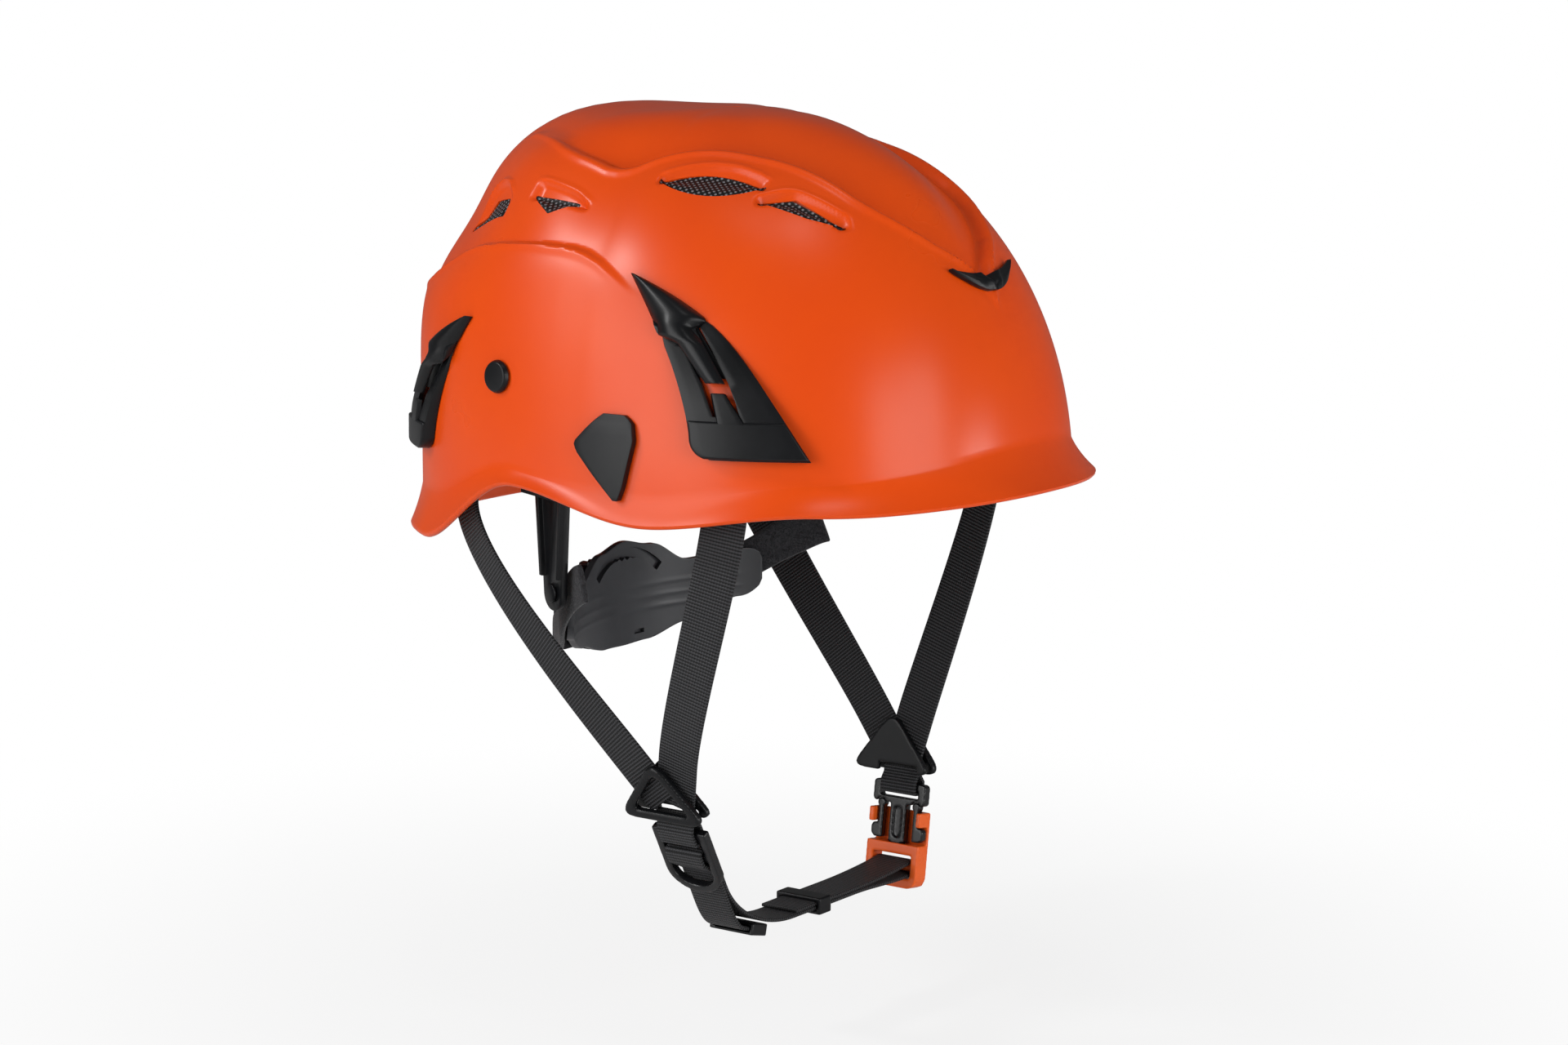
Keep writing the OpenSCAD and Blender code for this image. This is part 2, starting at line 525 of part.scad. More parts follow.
module side_plug(left) color(black) {
    arm_frame(left) translate([0, 0, plug_height])
        along_x(guide_out - guide_plate + 0.4, shell_at_plug + plug_head - 0.4, plug_stem_radius);
    sided(left) on_shell(arm_t, plug_height) translate([0, 0, seat + 0.3])
        cylinder(r1 = plug_radius, r2 = plug_radius - 1, h = plug_head);
}
module side_plug_left() side_plug(true);
module side_plug_right() side_plug(false);
module arm_anchor(left) color(black) arm_frame(left) difference() {
    union() {
        translate([guide_out - guide_plate, -arm_width / 2 - 3, plug_height - guide_half])
            cube([guide_plate, arm_width + 6, 2 * guide_half]);
        for (s = [-1, 1]) {
            translate([arm_in - seat - 1.5, s * (arm_width / 2 + seat + 1.35) - 1.35,
                plug_height - guide_half])
                cube([arm_thickness + 2 * seat + 1.6, 2.7, 2 * guide_half]);
            translate([arm_in - seat - 1.5, s * (arm_width / 2 + 0.5) - 2.5, plug_height - guide_half])
                cube([1.5, 5, 2 * guide_half]);
        }
        translate([0, 0, plug_height]) along_x(arm_in, guide_out - 0.1, 4);
    }
    translate([0, 0, plug_height])
        along_x(guide_out - guide_plate, liner_at_plug + 2, plug_stem_radius + running);
}
module arm_anchor_left() arm_anchor(true);
module arm_anchor_right() arm_anchor(false);
arm_top = plug_height + guide_half + nape_travel;
module arm_pocket() rotate([0, 0, arm_t - 90]) translate([arm_in - 20, -arm_width / 2 - 3 - 2 * seat, 0])
    cube([guide_out - arm_in + 20 + seat + 0.2, arm_width + 6 + 4 * seat, arm_top + nape_travel + 1]);
arm_waist = 12;
arm_foot = 7;
module arm_face() difference() {
    union() {
        polygon([[-arm_width / 2, arm_top - 4], [-arm_width / 2 + 4, arm_top], [arm_width / 2 - 4, arm_top],
            [arm_width / 2, arm_top - 4], [arm_width / 2, arm_waist], [arm_foot, pin_z], [-arm_foot, pin_z],
            [-arm_width / 2, arm_waist]]);
        translate([0, pin_z]) circle(arm_foot);
    }
    translate([0, pin_z]) circle(2 + running);
    translate([-4.4, plug_height - nape_travel]) square([8.8, 2 * nape_travel]);
    for (s = [-1, 1]) translate([0, plug_height + s * nape_travel]) circle(4.4);
}
module height_arm(left) color(black) arm_frame(left) {
    upright(arm_in, arm_out) arm_face();
    upright(arm_out - 0.2, arm_out + 2) for (s = [0, 1]) mirror([s, 0])
        polygon([[arm_width / 2, arm_waist + 4], [arm_width / 2 - 2.2, arm_waist + 4],
            [arm_width / 2 - 2.2, arm_waist], [arm_foot - 2.2, pin_z + 6], [arm_foot, pin_z + 6],
            [arm_width / 2, arm_waist]]);
}
module height_arm_left() height_arm(true);
module height_arm_right() height_arm(false);
pin_foot = 3.6;
pin_tilt = acos(unit(oval(pin_q, 10) - oval(pin_q, 0)) * unit(pin_at));
pin_cap = 1;
module arm_pin(left) color(black) arm_frame(left) translate([0, 0, pin_z]) {
    along_x(norm(pin_at) + seat + pin_foot * tan(pin_tilt), arm_in - seat, pin_foot);
    along_x(arm_in - seat - 0.1, arm_out + seat + 0.1, 2);
    along_x(arm_out + seat, arm_out + seat + pin_cap, pin_foot);
}
module arm_pin_left() arm_pin(true);
module arm_pin_right() arm_pin(false);

// Nape cradle: hump over the size wheel, wings to both sides, arch slot and notch
function cradle_top(q) = nape_height + eased([[0, 18], [12, 15], [26, 6.5], [44, 9], [52, 9]], abs(q));
function cradle_low(q) = nape_height - eased([[0, 24.5], [10, 24], [26, 19], [44, 11], [52, 8.5]], abs(q));
cradle_end = 52;
arch_radius = 29.5;
arch_top = 13.5;
arch_half = 1.15;
module cradle_peg(x, z, r) translate([x, hub_y - 12, z]) rotate([-90, 0, 0]) cylinder(r = r, h = 24, $fn = 8);
module nape_cradle() color(black) difference() {
    skin([for (q = [-cradle_end:4:cradle_end])
        let(i = oval(q, -cradle_thickness / 2), o = oval(q, cradle_thickness / 2), m = oval(q, 0),
            cut = abs(q) > cradle_end - 1 ? 3 : abs(q) > cradle_end - 5 ? 0.8 : 0,
            hi = cradle_top(q) - cut, lo = cradle_low(q) + cut)
        [[i.x, i.y, lo + 0.6], [i.x, i.y, hi - 0.6], [m.x, m.y, hi], [o.x, o.y, hi - 0.6],
         [o.x, o.y, lo + 0.6], [m.x, m.y, lo]]]);
    for (a = [43:9.4:128]) hull() for (b = [a, a + 9.4])
        cradle_peg(arch_radius * cos(b), nape_height + arch_top + arch_radius * (sin(b) - 1), arch_half);
    hull() for (x = [7, 11]) cradle_peg(x, nape_height - 20, 0.9);
}

// Gear box behind the cradle. The racks run above and below the pinion
pitch_r = gear_module * gear_teeth / 2;
tooth_up = gear_module * 0.76;
tooth_down = gear_module * 1.08;
pitch = PI * gear_module;
rack_back = pitch_r + tooth_down + 3.6;
box_half = 19;
box_front = hub_y + cradle_thickness / 2 + seat;
gear_low = box_front + 2.4;
gear_high = gear_low + 3.6;
box_rear = gear_high + 2.6;
shaft_r = 3;
module along_y(low, high, r) translate([0, low, 0]) rotate([-90, 0, 0]) cylinder(r = r, h = high - low);
module at_hub() translate([0, 0, hub_z]) children();
module nape_housing() color(black) at_hub() difference() {
    union() {
        translate([-box_half, box_front, -rack_back - 2.2])
            cube([2 * box_half, box_rear - box_front, 2 * rack_back + 4.4]);
        translate([-box_half, box_front, 0]) cube([2 * box_half, 1.6, hub_drop + arch_top - 1]);
    }
    translate([-box_half - 1, gear_low - 0.4, -rack_back - 0.4])
        cube([2 * box_half + 2, gear_high - gear_low + 0.8, 2 * rack_back + 0.8]);
    along_y(gear_high, box_rear + 1, shaft_r + running);
    along_y(box_front + 0.8, gear_low, 2 + running);
}
// Involute tooth, thinned for play
base_r = pitch_r * cos(20);
function roll(r) = sqrt(max(0, pow(r / base_r, 2) - 1)) * 180 / PI - acos(min(1, base_r / r));
half_tooth = 90 / gear_teeth - 2.2;
function flank(r) = half_tooth + roll(pitch_r) - roll(max(r, base_r));
tooth_radii = [pitch_r - tooth_down, base_r, lerp(base_r, pitch_r + tooth_up, 0.33),
    lerp(base_r, pitch_r + tooth_up, 0.66), pitch_r + tooth_up];
function tooth(a) = concat(
    [for (r = tooth_radii) r * [cos(a - flank(r)), sin(a - flank(r))]],
    [for (i = [len(tooth_radii) - 1:-1:0])
        let(r = tooth_radii[i]) r * [cos(a + flank(r)), sin(a + flank(r))]]);
module dial_gear() color(black) at_hub() {
    translate([0, gear_high, 0]) rotate([90, 0, 0]) linear_extrude(gear_high - gear_low)
        polygon(flat([for (i = [0:gear_teeth - 1]) tooth(90 + i * 360 / gear_teeth)]));
    along_y(box_front + 1, gear_low + 0.1, 2);
    along_y(gear_high - 0.1, box_rear + 5, shaft_r);
}
module dial() color(black) at_hub() difference() {
    union() {
        along_y(box_rear + 0.5, box_rear + 0.5 + dial_width, dial_radius - 1.6);
        along_y(box_rear + 1.5, box_rear - 0.5 + dial_width, dial_radius);
    }
    for (a = [0:20:340]) rotate([0, a, 0]) translate([0, 0, dial_radius + 0.9])
        along_y(box_rear, box_rear + 12, 2);
    along_y(box_rear, box_rear + 5 + running, shaft_r + running);
    along_y(box_rear + dial_width - 1, box_rear + dial_width + 2, dial_radius - 6);
}
// Rack: straight teeth towards the pinion, a space of the rack over each pinion tooth at rest
rack_tip = 14;
head_x = oval(band_start, side_band_off(band_start)).x - 2.2;
function rack_tooth(x) =
    let(half = pitch / 4 - 0.3, up = half - tooth_up * tan(20), low = half + tooth_down * tan(20))
    [[x - low, pitch_r + tooth_down], [x - up, pitch_r - tooth_up], [x + up, pitch_r - tooth_up],
     [x + low, pitch_r + tooth_down]];
module rack_bar() {
    translate([0, gear_high, 0]) rotate([90, 0, 0]) linear_extrude(gear_high - gear_low)
        polygon(concat([[-rack_tip, rack_back], [-rack_tip, pitch_r + tooth_down]],
            flat([for (i = [-4:3]) rack_tooth((i + 0.5) * pitch)]),
            [[head_x, pitch_r + tooth_down], [head_x, rack_back]]));
    translate([head_x - 3, gear_low, -4]) cube([3, gear_high - gear_low + 2, rack_back + 4]);
}
module rack_left() color(black) at_hub() rack_bar();
module rack_right() color(black) at_hub() mirror([1, 0, 0]) mirror([0, 0, 1]) rack_bar();

// Strap fastenings on the shell's inside wall
strap_at = [[58, crease_z(58) + 6.5], [127, crease_z(127) + 6.5]];
plate_out = shell_wall + 1.2;
module fasten(at, left) sided(left) on_shell(at[0], at[1]) children();
module strap_anchors() color(black)
    for (left = [true, false]) for (at = strap_at) fasten(at, left) difference() {
    union() {
        translate([-10, -6, -plate_out - 2]) cube([20, 12, 2]);
        translate([0, 0, -plate_out - 0.1]) cylinder(r = 5, h = 0.6);
    }
    translate([0, 0, -plate_out - 3]) cylinder(r = 2 + running, h = 6);
}
strap_off = plate_out + 2 + seat + strap_thickness / 2;
module strap_rivets() color(black) for (left = [true, false]) for (at = strap_at) fasten(at, left) {
    translate([0, 0, -strap_off - 2]) cylinder(r = 2, h = strap_off + 2 - shell_wall - seat - facet_play);
    translate([0, 0, -strap_off - strap_thickness / 2 - seat - 1.6]) cylinder(r1 = 3.4, r2 = 4.4, h = 1.6);
}

// Webbing ribbon from p0 to p1, leaving along d0 and arriving along d1, s0 and s1 across it
function hermite(p0, d0, p1, d1, s) =
    (2 * s * s * s - 3 * s * s + 1) * p0 + (s * s * s - 2 * s * s + s) * d0
    + (3 * s * s - 2 * s * s * s) * p1 + (s * s * s - s * s) * d1;
function ribbon_ring(p, d, raw) =
    let(side = unit(raw - d * (raw * d)), up = cross(side, d), w = strap_width / 2, h = strap_thickness / 2)
    [p + side * w - up * h, p + side * w + up * h, p - side * w + up * h, p - side * w - up * h];
module ribbon(head, p0, d0, p1, d1, s0, s1, count, tail) skin(concat(
    [ribbon_ring(head, unit(p0 - head), s0)],
    [for (i = [0:count])
        let(s = i / count, d = unit(hermite(p0, d0, p1, d1, s + 0.01) - hermite(p0, d0, p1, d1, s - 0.01)))
        ribbon_ring(hermite(p0, d0, p1, d1, s), i == 0 ? unit(p0 - head) : i == count ? unit(d1) : d,
            lerp(s0, s1, ease(s)))],
    [ribbon_ring(p1 + tail * unit(d1), unit(d1), s1)]));
layer = strap_thickness / 2 + 0.1;
function divider_z(left) = left ? divider_left_z : divider_right_z;
function divider_lean(left) = left ? divider_left_lean : divider_right_lean;
function along_divider(left, d) = let(a = divider_lean(left))
    [d.x * cos(a) + d.z * sin(a), d.y, d.z * cos(a) - d.x * sin(a)];
function in_divider(left, p) =
    [divider_x, harness_y + divider_shift, divider_z(left)] + along_divider(left, p);
// Straight run of a strap between a divider's ring and plate
strap_run = 16;
rear_strap_bow = [18, 12, 0];
module front_strap(left) color(webbing) sided(left) {
    at = strap_at[0];
    head = from_shell(at[0], at[1], [0, 5, -strap_off]);
    foot = from_shell(at[0], at[1], [0, -8, -strap_off]);
    ribbon(head, foot, 60 * unit(foot - head),
        in_divider(left, [-layer, -9, 12]), along_divider(left, [0, 22, -76]),
        shell_axes(at[0], at[1])[1], along_divider(left, [0, 0.96, 0.28]), 10, strap_run);
}
module rear_strap(left) color(webbing) sided(left) {
    at = strap_at[1];
    head = from_shell(at[0], at[1], [0, 5, -strap_off]);
    foot = from_shell(at[0], at[1], [0, -8, -strap_off]);
    ribbon(head, foot, 60 * unit(foot - head) + rear_strap_bow,
        in_divider(left, [layer, 11.5, 11]), along_divider(left, [0, -64, -89]),
        shell_axes(at[0], at[1])[1], along_divider(left, [0, 0.81, -0.58]), 12, strap_run);
}
module front_strap_left() front_strap(true);
module front_strap_right() front_strap(false);
module rear_strap_left() rear_strap(true);
module rear_strap_right() rear_strap(false);

// Strap dividers: an open triangle outside, a plate with a notch for the loop inside
divider_round = 7;
divider_low = -divider_height / 2;
module triangle(inset) {
    half = divider_width / 2 + divider_round * 0.39 - inset * 2.05;
    corners = [[half, divider_low + inset], [0, divider_height / 2 + divider_round * 0.4 - inset * 1.6],
        [-half, divider_low + inset]];
    polygon(flat([for (i = [0:2])
        let(p = corners[i], b = corners[(i + 2) % 3], n = corners[(i + 1) % 3],
            k = divider_round - inset * 0.8)
        [for (s = [0:0.2:1]) lerp(lerp(p + k * unit(b - p), p, s), lerp(p, p + k * unit(n - p), s), s)]]));
}
divider_gap = 2 * (layer + strap_thickness / 2);
ring_thickness = 2.4;
notch_height = 3.4;
module divider_frame(left) sided(left)
    translate([divider_x, harness_y + divider_shift, divider_z(left)])
        rotate([0, divider_lean(left), 0]) children();
module divider_ring(left) color(black) divider_frame(left)
    upright(divider_gap / 2 + seat, divider_gap / 2 + seat + ring_thickness) difference() {
        triangle(0);
        triangle(divider_bar);
    }
module divider_plate(left) color(black) divider_frame(left)
    upright(-divider_gap / 2 - seat - ring_thickness, -divider_gap / 2 - seat) difference() {
        triangle(0);
        translate([-strap_width / 2 - 0.8 - divider_shift, divider_low - 1])
            square([strap_width + 1.6, notch_height + 1]);
    }
module divider_ring_left() divider_ring(true);
module divider_ring_right() divider_ring(false);
module divider_plate_left() divider_plate(true);
module divider_plate_right() divider_plate(false);

// Webbing that bends only about the width, drawn in the harness plane
module webbing_path(path) translate([0, harness_y + strap_width / 2, 0]) rotate([90, 0, 0])
    linear_extrude(strap_width) for (i = [0:len(path) - 2]) hull() {
        translate(path[i]) circle(strap_thickness / 2, $fn = 8);
        translate(path[i + 1]) circle(strap_thickness / 2, $fn = 8);
    }
function arc(c, r, a0, a1, n) = [for (i = [0:n])
    c + r * [cos(lerp(a0, a1, i / n)), sin(lerp(a0, a1, i / n))]];
function turned(o, lean, p) = o + [p.x * cos(lean) + p.y * sin(lean), p.y * cos(lean) - p.x * sin(lean)];
function bezier(a, b, c, d, n) = [for (i = [0:n]) let(s = i / n)
    pow(1 - s, 3) * a + 3 * s * pow(1 - s, 2) * b + 3 * s * s * (1 - s) * c + s * s * s * d];

// Buckle on the left side. Frame: z up along it, x outward, y along the width
buckle_at = at_left([0, divider_low]) + [-0.4, -7.3];
loop_top = divider_low + 2.6;
function at_left(p) = turned([divider_x, divider_left_z], divider_left_lean, p);
function at_right(p) = turned([-divider_x, divider_right_z], -divider_right_lean, p);
wrap = strap_thickness / 2 + seat;
// Turns of the webbing round a bar: under it from right to left, or over it from left to right
function under(half, z) = concat(arc([half, z], wrap, 0, -90, 3), arc([-half, z], wrap, -90, -180, 3));
function over(half, z) = concat(arc([-half, z], wrap, 180, 90, 3), arc([half, z], wrap, 90, 0, 3));
half_w = buckle_width / 2;
bar_low = -0.2;
bar_high = 3;
male_half = 2;
module buckle_frame() translate([buckle_at.x, harness_y, buckle_at.y]) rotate([0, buckle_lean, 0]) children();
module divider_loop_left() color(webbing) webbing_path(concat(
    [at_left([layer, loop_top]), at_left([layer, divider_low - 0.8])],
    [for (p = concat([[male_half + wrap, bar_high + 0.7]], under(male_half, bar_low),
        [[-male_half - wrap, bar_high + 0.7]])) turned(buckle_at, buckle_lean, p)],
    [at_left([-layer, divider_low - 0.8]), at_left([-layer, loop_top])]));
tongue_half = 3.8;
arm_hinge = [8.4, -6.6];
module male_face() difference() {
    union() {
        translate([-half_w + 1.5, -6]) square([buckle_width - 3, bar_high + 6]);
        translate([-half_w, -4.5]) square([buckle_width, bar_high + 3]);
        for (s = [-1, 1]) translate([s * (half_w - 1.5), -4.5]) circle(1.5);
        for (s = [-1, 1]) translate([s * (half_w - 1.5), bar_high - 1.5]) circle(1.5);
        translate([-tongue_half, -22]) square([2 * tongue_half, 17]);
        translate([0, -22]) circle(tongue_half - 1.2);
    }
    translate([-strap_width / 2 - 0.5, bar_low - 3.2]) square([strap_width + 1, 3.2]);
    for (s = [-1, 1]) translate([s * arm_hinge.x, arm_hinge.y]) circle(1.9 + seat);
}
module buckle_male() color(black) buckle_frame() difference() {
    upright(-male_half, male_half) male_face();
    translate([0, 0, -9]) rotate([0, 90, 0]) translate([0, 0, -male_half - 1.2])
        linear_extrude(2) for (s = [0, 9]) translate([s, 0]) circle(2);
    translate([-male_half - 1.2, -2, -18]) cube([2, 4, 9]);
}
// Latch arms: sprung sides of the male half, with shoulders that catch the female's uprights
latch_in = 7.3;
latch_out = 9.6;
module latch(s) color(black) buckle_frame() mirror([0, s < 0 ? 1 : 0, 0]) union() {
    upright(-1.7, 1.7) translate(arm_hinge) circle(1.9);
    upright(-1.7, 1.7) polygon([[latch_in, -21], [half_w - 1.5, -21], [half_w, -19.5], [half_w, -16.4],
        [half_w - 0.7, -15.2], [latch_out, -14.9], [latch_out, -7.2], [latch_in, -7.2]]);
}
module latch_front() latch(-1);
module latch_rear() latch(1);
// Female half: uprights on a back plate, pocket for the tongue, loop with a cross bar
female_half = buckle_thickness / 2;
female_low = -40;
cross_bar_z = -31.5;
module buckle_female() color(orange) buckle_frame() {
    difference() {
        union() {
            upright(-female_half, female_half) polygon([[-half_w, -22], [half_w, -22],
                [half_w, female_low + 4],
                [half_w - 1.2, female_low + 1.2], [half_w - 4, female_low], [-half_w + 4, female_low],
                [-half_w + 1.2, female_low + 1.2], [-half_w, female_low + 4]]);
            upright(male_half + 0.4, female_half) translate([-half_w, -30]) square([buckle_width, 21.5]);
            for (s = [-1, 1]) upright(-female_half, female_half) translate([s * (half_w - 1.1) - 1.1, -14.5])
                square([2.2, 6]);
        }
        translate([-male_half - 0.4, -tongue_half - 0.6, -26])
            cube([2 * male_half + 0.8, 2 * tongue_half + 1.2, 5]);
        upright(-female_half - 1, female_half + 1) translate([-strap_width / 2 - 0.8, -35.8])
            square([strap_width + 1.6, 9.4]);
    }
    translate([0, -half_w + 3, cross_bar_z]) rotate([-90, 0, 0]) cylinder(r = 1.7, h = buckle_width - 6);
}

// Strap adjuster on the right side, a ladder lock with a pull loop
adjuster_at = at_right([0, divider_low]) + [3.2, -7.4];
module adjuster_frame()
    translate([adjuster_at.x, harness_y, adjuster_at.y]) rotate([0, -adjuster_lean, 0]) children();
adj_half = 1.8;
bar_cut = -1.6;
middle_bar = -7.4;
ladder_low = -10.6;
loop_bar = 3.2;
loop_end = 10;
loop_straight = pull_loop - loop_end;
module loop_half(r, reach) {
    translate([-r, -loop_straight]) square([2 * r, loop_straight]);
    translate([0, -loop_straight]) scale([1, reach / r]) circle(r);
}
module strap_adjuster() color(black) adjuster_frame() {
    upright(-adj_half, adj_half) difference() {
        union() {
            translate([-half_w, ladder_low - 1]) square([buckle_width, bar_high - ladder_low + 1]);
            translate([0, ladder_low]) loop_half(half_w, loop_end);
        }
        translate([-strap_width / 2 - 0.6, middle_bar]) square([strap_width + 1.2, bar_cut - middle_bar]);
        intersection() {
            translate([0, ladder_low]) loop_half(half_w - loop_bar, loop_end - loop_bar);
            translate([-half_w, ladder_low - 2 * pull_loop]) square([buckle_width, 2 * pull_loop]);
        }
    }
}
module divider_loop_right() color(webbing) webbing_path(concat(
    [at_right([layer, loop_top]), at_right([layer, divider_low - 0.8])],
    [for (p = concat([[adj_half + wrap, bar_high + 0.7]], under(adj_half, bar_cut),
        [[-adj_half - wrap, bar_high + 0.7]])) turned(adjuster_at, -adjuster_lean, p)],
    [at_right([-layer, divider_low - 0.8]), at_right([-layer, loop_top])]));
// Chin strap: over the adjuster's middle bar, under the chin, round the buckle's cross bar
bar_at = turned(buckle_at, buckle_lean, [0, cross_bar_z]);
bar_wrap = 1.7 + wrap;
upper_z = chin_z + strap_thickness + 0.25;
loop_low = ladder_low - pull_loop;
tail_x = adj_half + wrap;
main_x = tail_x + strap_thickness + 0.2;
main_start = turned(adjuster_at, -adjuster_lean, [main_x, loop_low - 1]);
tail_start = turned(adjuster_at, -adjuster_lean, [tail_x, loop_low - 1]);
fall = [sin(adjuster_lean), -cos(adjuster_lean)];
tail_end = [-34, chin_z + 0.4];
stop_lean = 14;
tail_way = [-cos(stop_lean), sin(stop_lean)];
tail_bend = tail_end + 9 * tail_way;
chin_left = [-10, chin_z];
chin_right = [32, chin_z];
bar_angle = -96;
module chin_strap() color(webbing) webbing_path(concat(
    [tail_end],
    bezier(tail_bend, tail_bend + 6 * tail_way, tail_start + 7 * fall, tail_start, 6),
    [for (p = concat([[tail_x, ladder_low - loop_straight - 2], [-tail_x, ladder_low - 1.6]],
        over(adj_half, middle_bar), [[tail_x, ladder_low - 1.6], [main_x, ladder_low - loop_straight - 1.4]]))
        turned(adjuster_at, -adjuster_lean, p)],
    bezier(main_start, main_start + 14 * fall, chin_left - [20, 0], chin_left, 7),
    bezier(chin_right, chin_right + [14, 0], bar_at + bar_wrap * [cos(bar_angle), sin(bar_angle)] - [14, 0.6],
        bar_at + bar_wrap * [cos(bar_angle), sin(bar_angle)], 4),
    arc(bar_at, bar_wrap, bar_angle, 100, 8),
    bezier(bar_at + bar_wrap * [cos(100), sin(100)], bar_at + bar_wrap * [cos(100), sin(100)] - [14, 1.6],
        [chin_right.x + 12, upper_z], [chin_right.x - 2, upper_z], 4),
    [[-9, upper_z]]));
keeper_x = 8;
module strap_keeper() color(black) translate([keeper_x, harness_y, (chin_z + upper_z) / 2]) difference() {
    translate([-4, -strap_width / 2 - 2.2, -strap_thickness - 2])
        cube([8, strap_width + 4.4, 2 * strap_thickness + 4]);
    translate([-5, -strap_width / 2 - 0.4, -strap_thickness - 0.5])
        cube([10, strap_width + 0.8, 2 * strap_thickness + 1]);
}
stop_length = 10;
stop_at = tail_end + (stop_length / 2 - 3) * tail_way;
module end_stop() color(black)
    translate([stop_at.x, harness_y, stop_at.y]) rotate([0, stop_lean, 0]) difference() {
    translate([-stop_length / 2, -strap_width / 2 - 1.8, -strap_thickness / 2 - 1.7])
        cube([stop_length, strap_width + 3.6, strap_thickness + 3.4]);
    translate([-stop_length / 2 - 1, -strap_width / 2 - 0.3, -strap_thickness / 2 - 0.5])
        cube([stop_length - 1, strap_width + 0.6, strap_thickness + 1]);
}

outer_shell();
inner_liner();
crown_pad();
vent_mesh_front_left();
vent_mesh_front_right();
vent_mesh_rear_left();
vent_mesh_rear_right();
front_trim();
lamp_clip_front_left();
lamp_clip_front_right();
lamp_clip_rear_left();
lamp_clip_rear_right();
visor_cover_left();
visor_cover_right();
side_plug_left();
side_plug_right();
brow_band();
brow_pad();
arm_anchor_left();
arm_anchor_right();
height_arm_left();
height_arm_right();
arm_pin_left();
arm_pin_right();
side_band_left();
side_band_right();
nape_cradle();
nape_housing();
dial();
dial_gear();
rack_left();
rack_right();
strap_anchors();
strap_rivets();
front_strap_left();
front_strap_right();
rear_strap_left();
rear_strap_right();
divider_ring_left();
divider_ring_right();
divider_plate_left();
divider_plate_right();
divider_loop_left();
divider_loop_right();
strap_adjuster();
chin_strap();
strap_keeper();
end_stop();
buckle_male();
latch_front();
latch_rear();
buckle_female();
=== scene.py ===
"""Climbing helmet with its headband, size adjuster and four-point harness: the looks of the part.

Working sizes are in millimetres, and MM turns them into the scene's metres. Front faces -Y, up is +Z,
and the wearer's left is +X. Angles t run from the front round the left side, in degrees.
"""

import json
import logging
import math
from dataclasses import dataclass, field
from enum import Enum
from typing import Callable, Iterable, Sequence

import bpy
from mathutils import Matrix, Vector

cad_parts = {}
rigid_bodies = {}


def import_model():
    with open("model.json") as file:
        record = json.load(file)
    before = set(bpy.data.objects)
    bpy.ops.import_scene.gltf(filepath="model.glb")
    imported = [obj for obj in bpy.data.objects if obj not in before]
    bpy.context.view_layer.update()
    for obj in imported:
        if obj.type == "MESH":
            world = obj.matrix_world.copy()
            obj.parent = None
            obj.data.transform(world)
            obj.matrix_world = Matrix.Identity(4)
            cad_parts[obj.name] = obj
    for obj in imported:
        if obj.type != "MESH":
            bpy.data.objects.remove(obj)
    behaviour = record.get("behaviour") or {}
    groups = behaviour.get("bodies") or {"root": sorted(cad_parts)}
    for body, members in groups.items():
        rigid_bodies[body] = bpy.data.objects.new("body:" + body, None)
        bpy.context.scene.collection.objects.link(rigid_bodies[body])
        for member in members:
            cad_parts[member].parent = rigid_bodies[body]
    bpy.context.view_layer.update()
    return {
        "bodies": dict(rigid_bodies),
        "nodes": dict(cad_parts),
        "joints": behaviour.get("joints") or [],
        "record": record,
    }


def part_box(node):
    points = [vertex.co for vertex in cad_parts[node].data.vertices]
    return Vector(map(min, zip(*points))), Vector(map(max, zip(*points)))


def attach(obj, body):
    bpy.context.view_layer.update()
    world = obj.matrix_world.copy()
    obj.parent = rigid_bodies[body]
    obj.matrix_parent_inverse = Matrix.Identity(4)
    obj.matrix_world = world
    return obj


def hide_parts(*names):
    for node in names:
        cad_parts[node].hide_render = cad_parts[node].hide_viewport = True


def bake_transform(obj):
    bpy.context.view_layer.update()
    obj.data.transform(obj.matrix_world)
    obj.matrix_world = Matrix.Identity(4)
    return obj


LOG = logging.getLogger("helmet")
MM = 0.001
Table = Sequence[tuple[float, float]]
Flat = tuple[float, float]
# A row of a fitting: height along the shell, first and last x, offset of its top face
Row = tuple[float, float, float, float]
# Gives the point for u across a piece, v along it, and w from 0 on its low face to 1 on its top face
Place = Callable[[float, float, float], Vector]
Obj = bpy.types.Object
Tree = bpy.types.NodeTree
Node = bpy.types.Node
Socket = bpy.types.NodeSocket


class Side(Enum):
    """The wearer's sides."""

    LEFT = "left"
    RIGHT = "right"

    @property
    def sign(self) -> float:
        """Direction of the side along X."""
        return 1.0 if self is Side.LEFT else -1.0

    def put(self, point: Vector) -> Vector:
        """Carries a point of the left side over to this side."""
        return Vector((point.x * self.sign, point.y, point.z))


class Body(Enum):
    """Moving bodies of the part that pieces ride on."""

    HELMET = "helmet"
    NAPE = "nape"
    DIAL = "size_dial"
    LEFT_RACK = "left_rack"
    RIGHT_RACK = "right_rack"
    FEMALE = "female"
    FRONT_LATCH = "front_latch"
    REAR_LATCH = "rear_latch"
    LEFT_COVER = "left_cover"
    RIGHT_COVER = "right_cover"
    KEEPER = "keeper"


def lerp(a: float, b: float, s: float) -> float:
    """Value at share s from a to b."""
    return a + (b - a) * s


def ease(s: float) -> float:
    """Smooth step from 0 to 1."""
    c = min(1.0, max(0.0, s))
    return c * c * (3 - 2 * c)


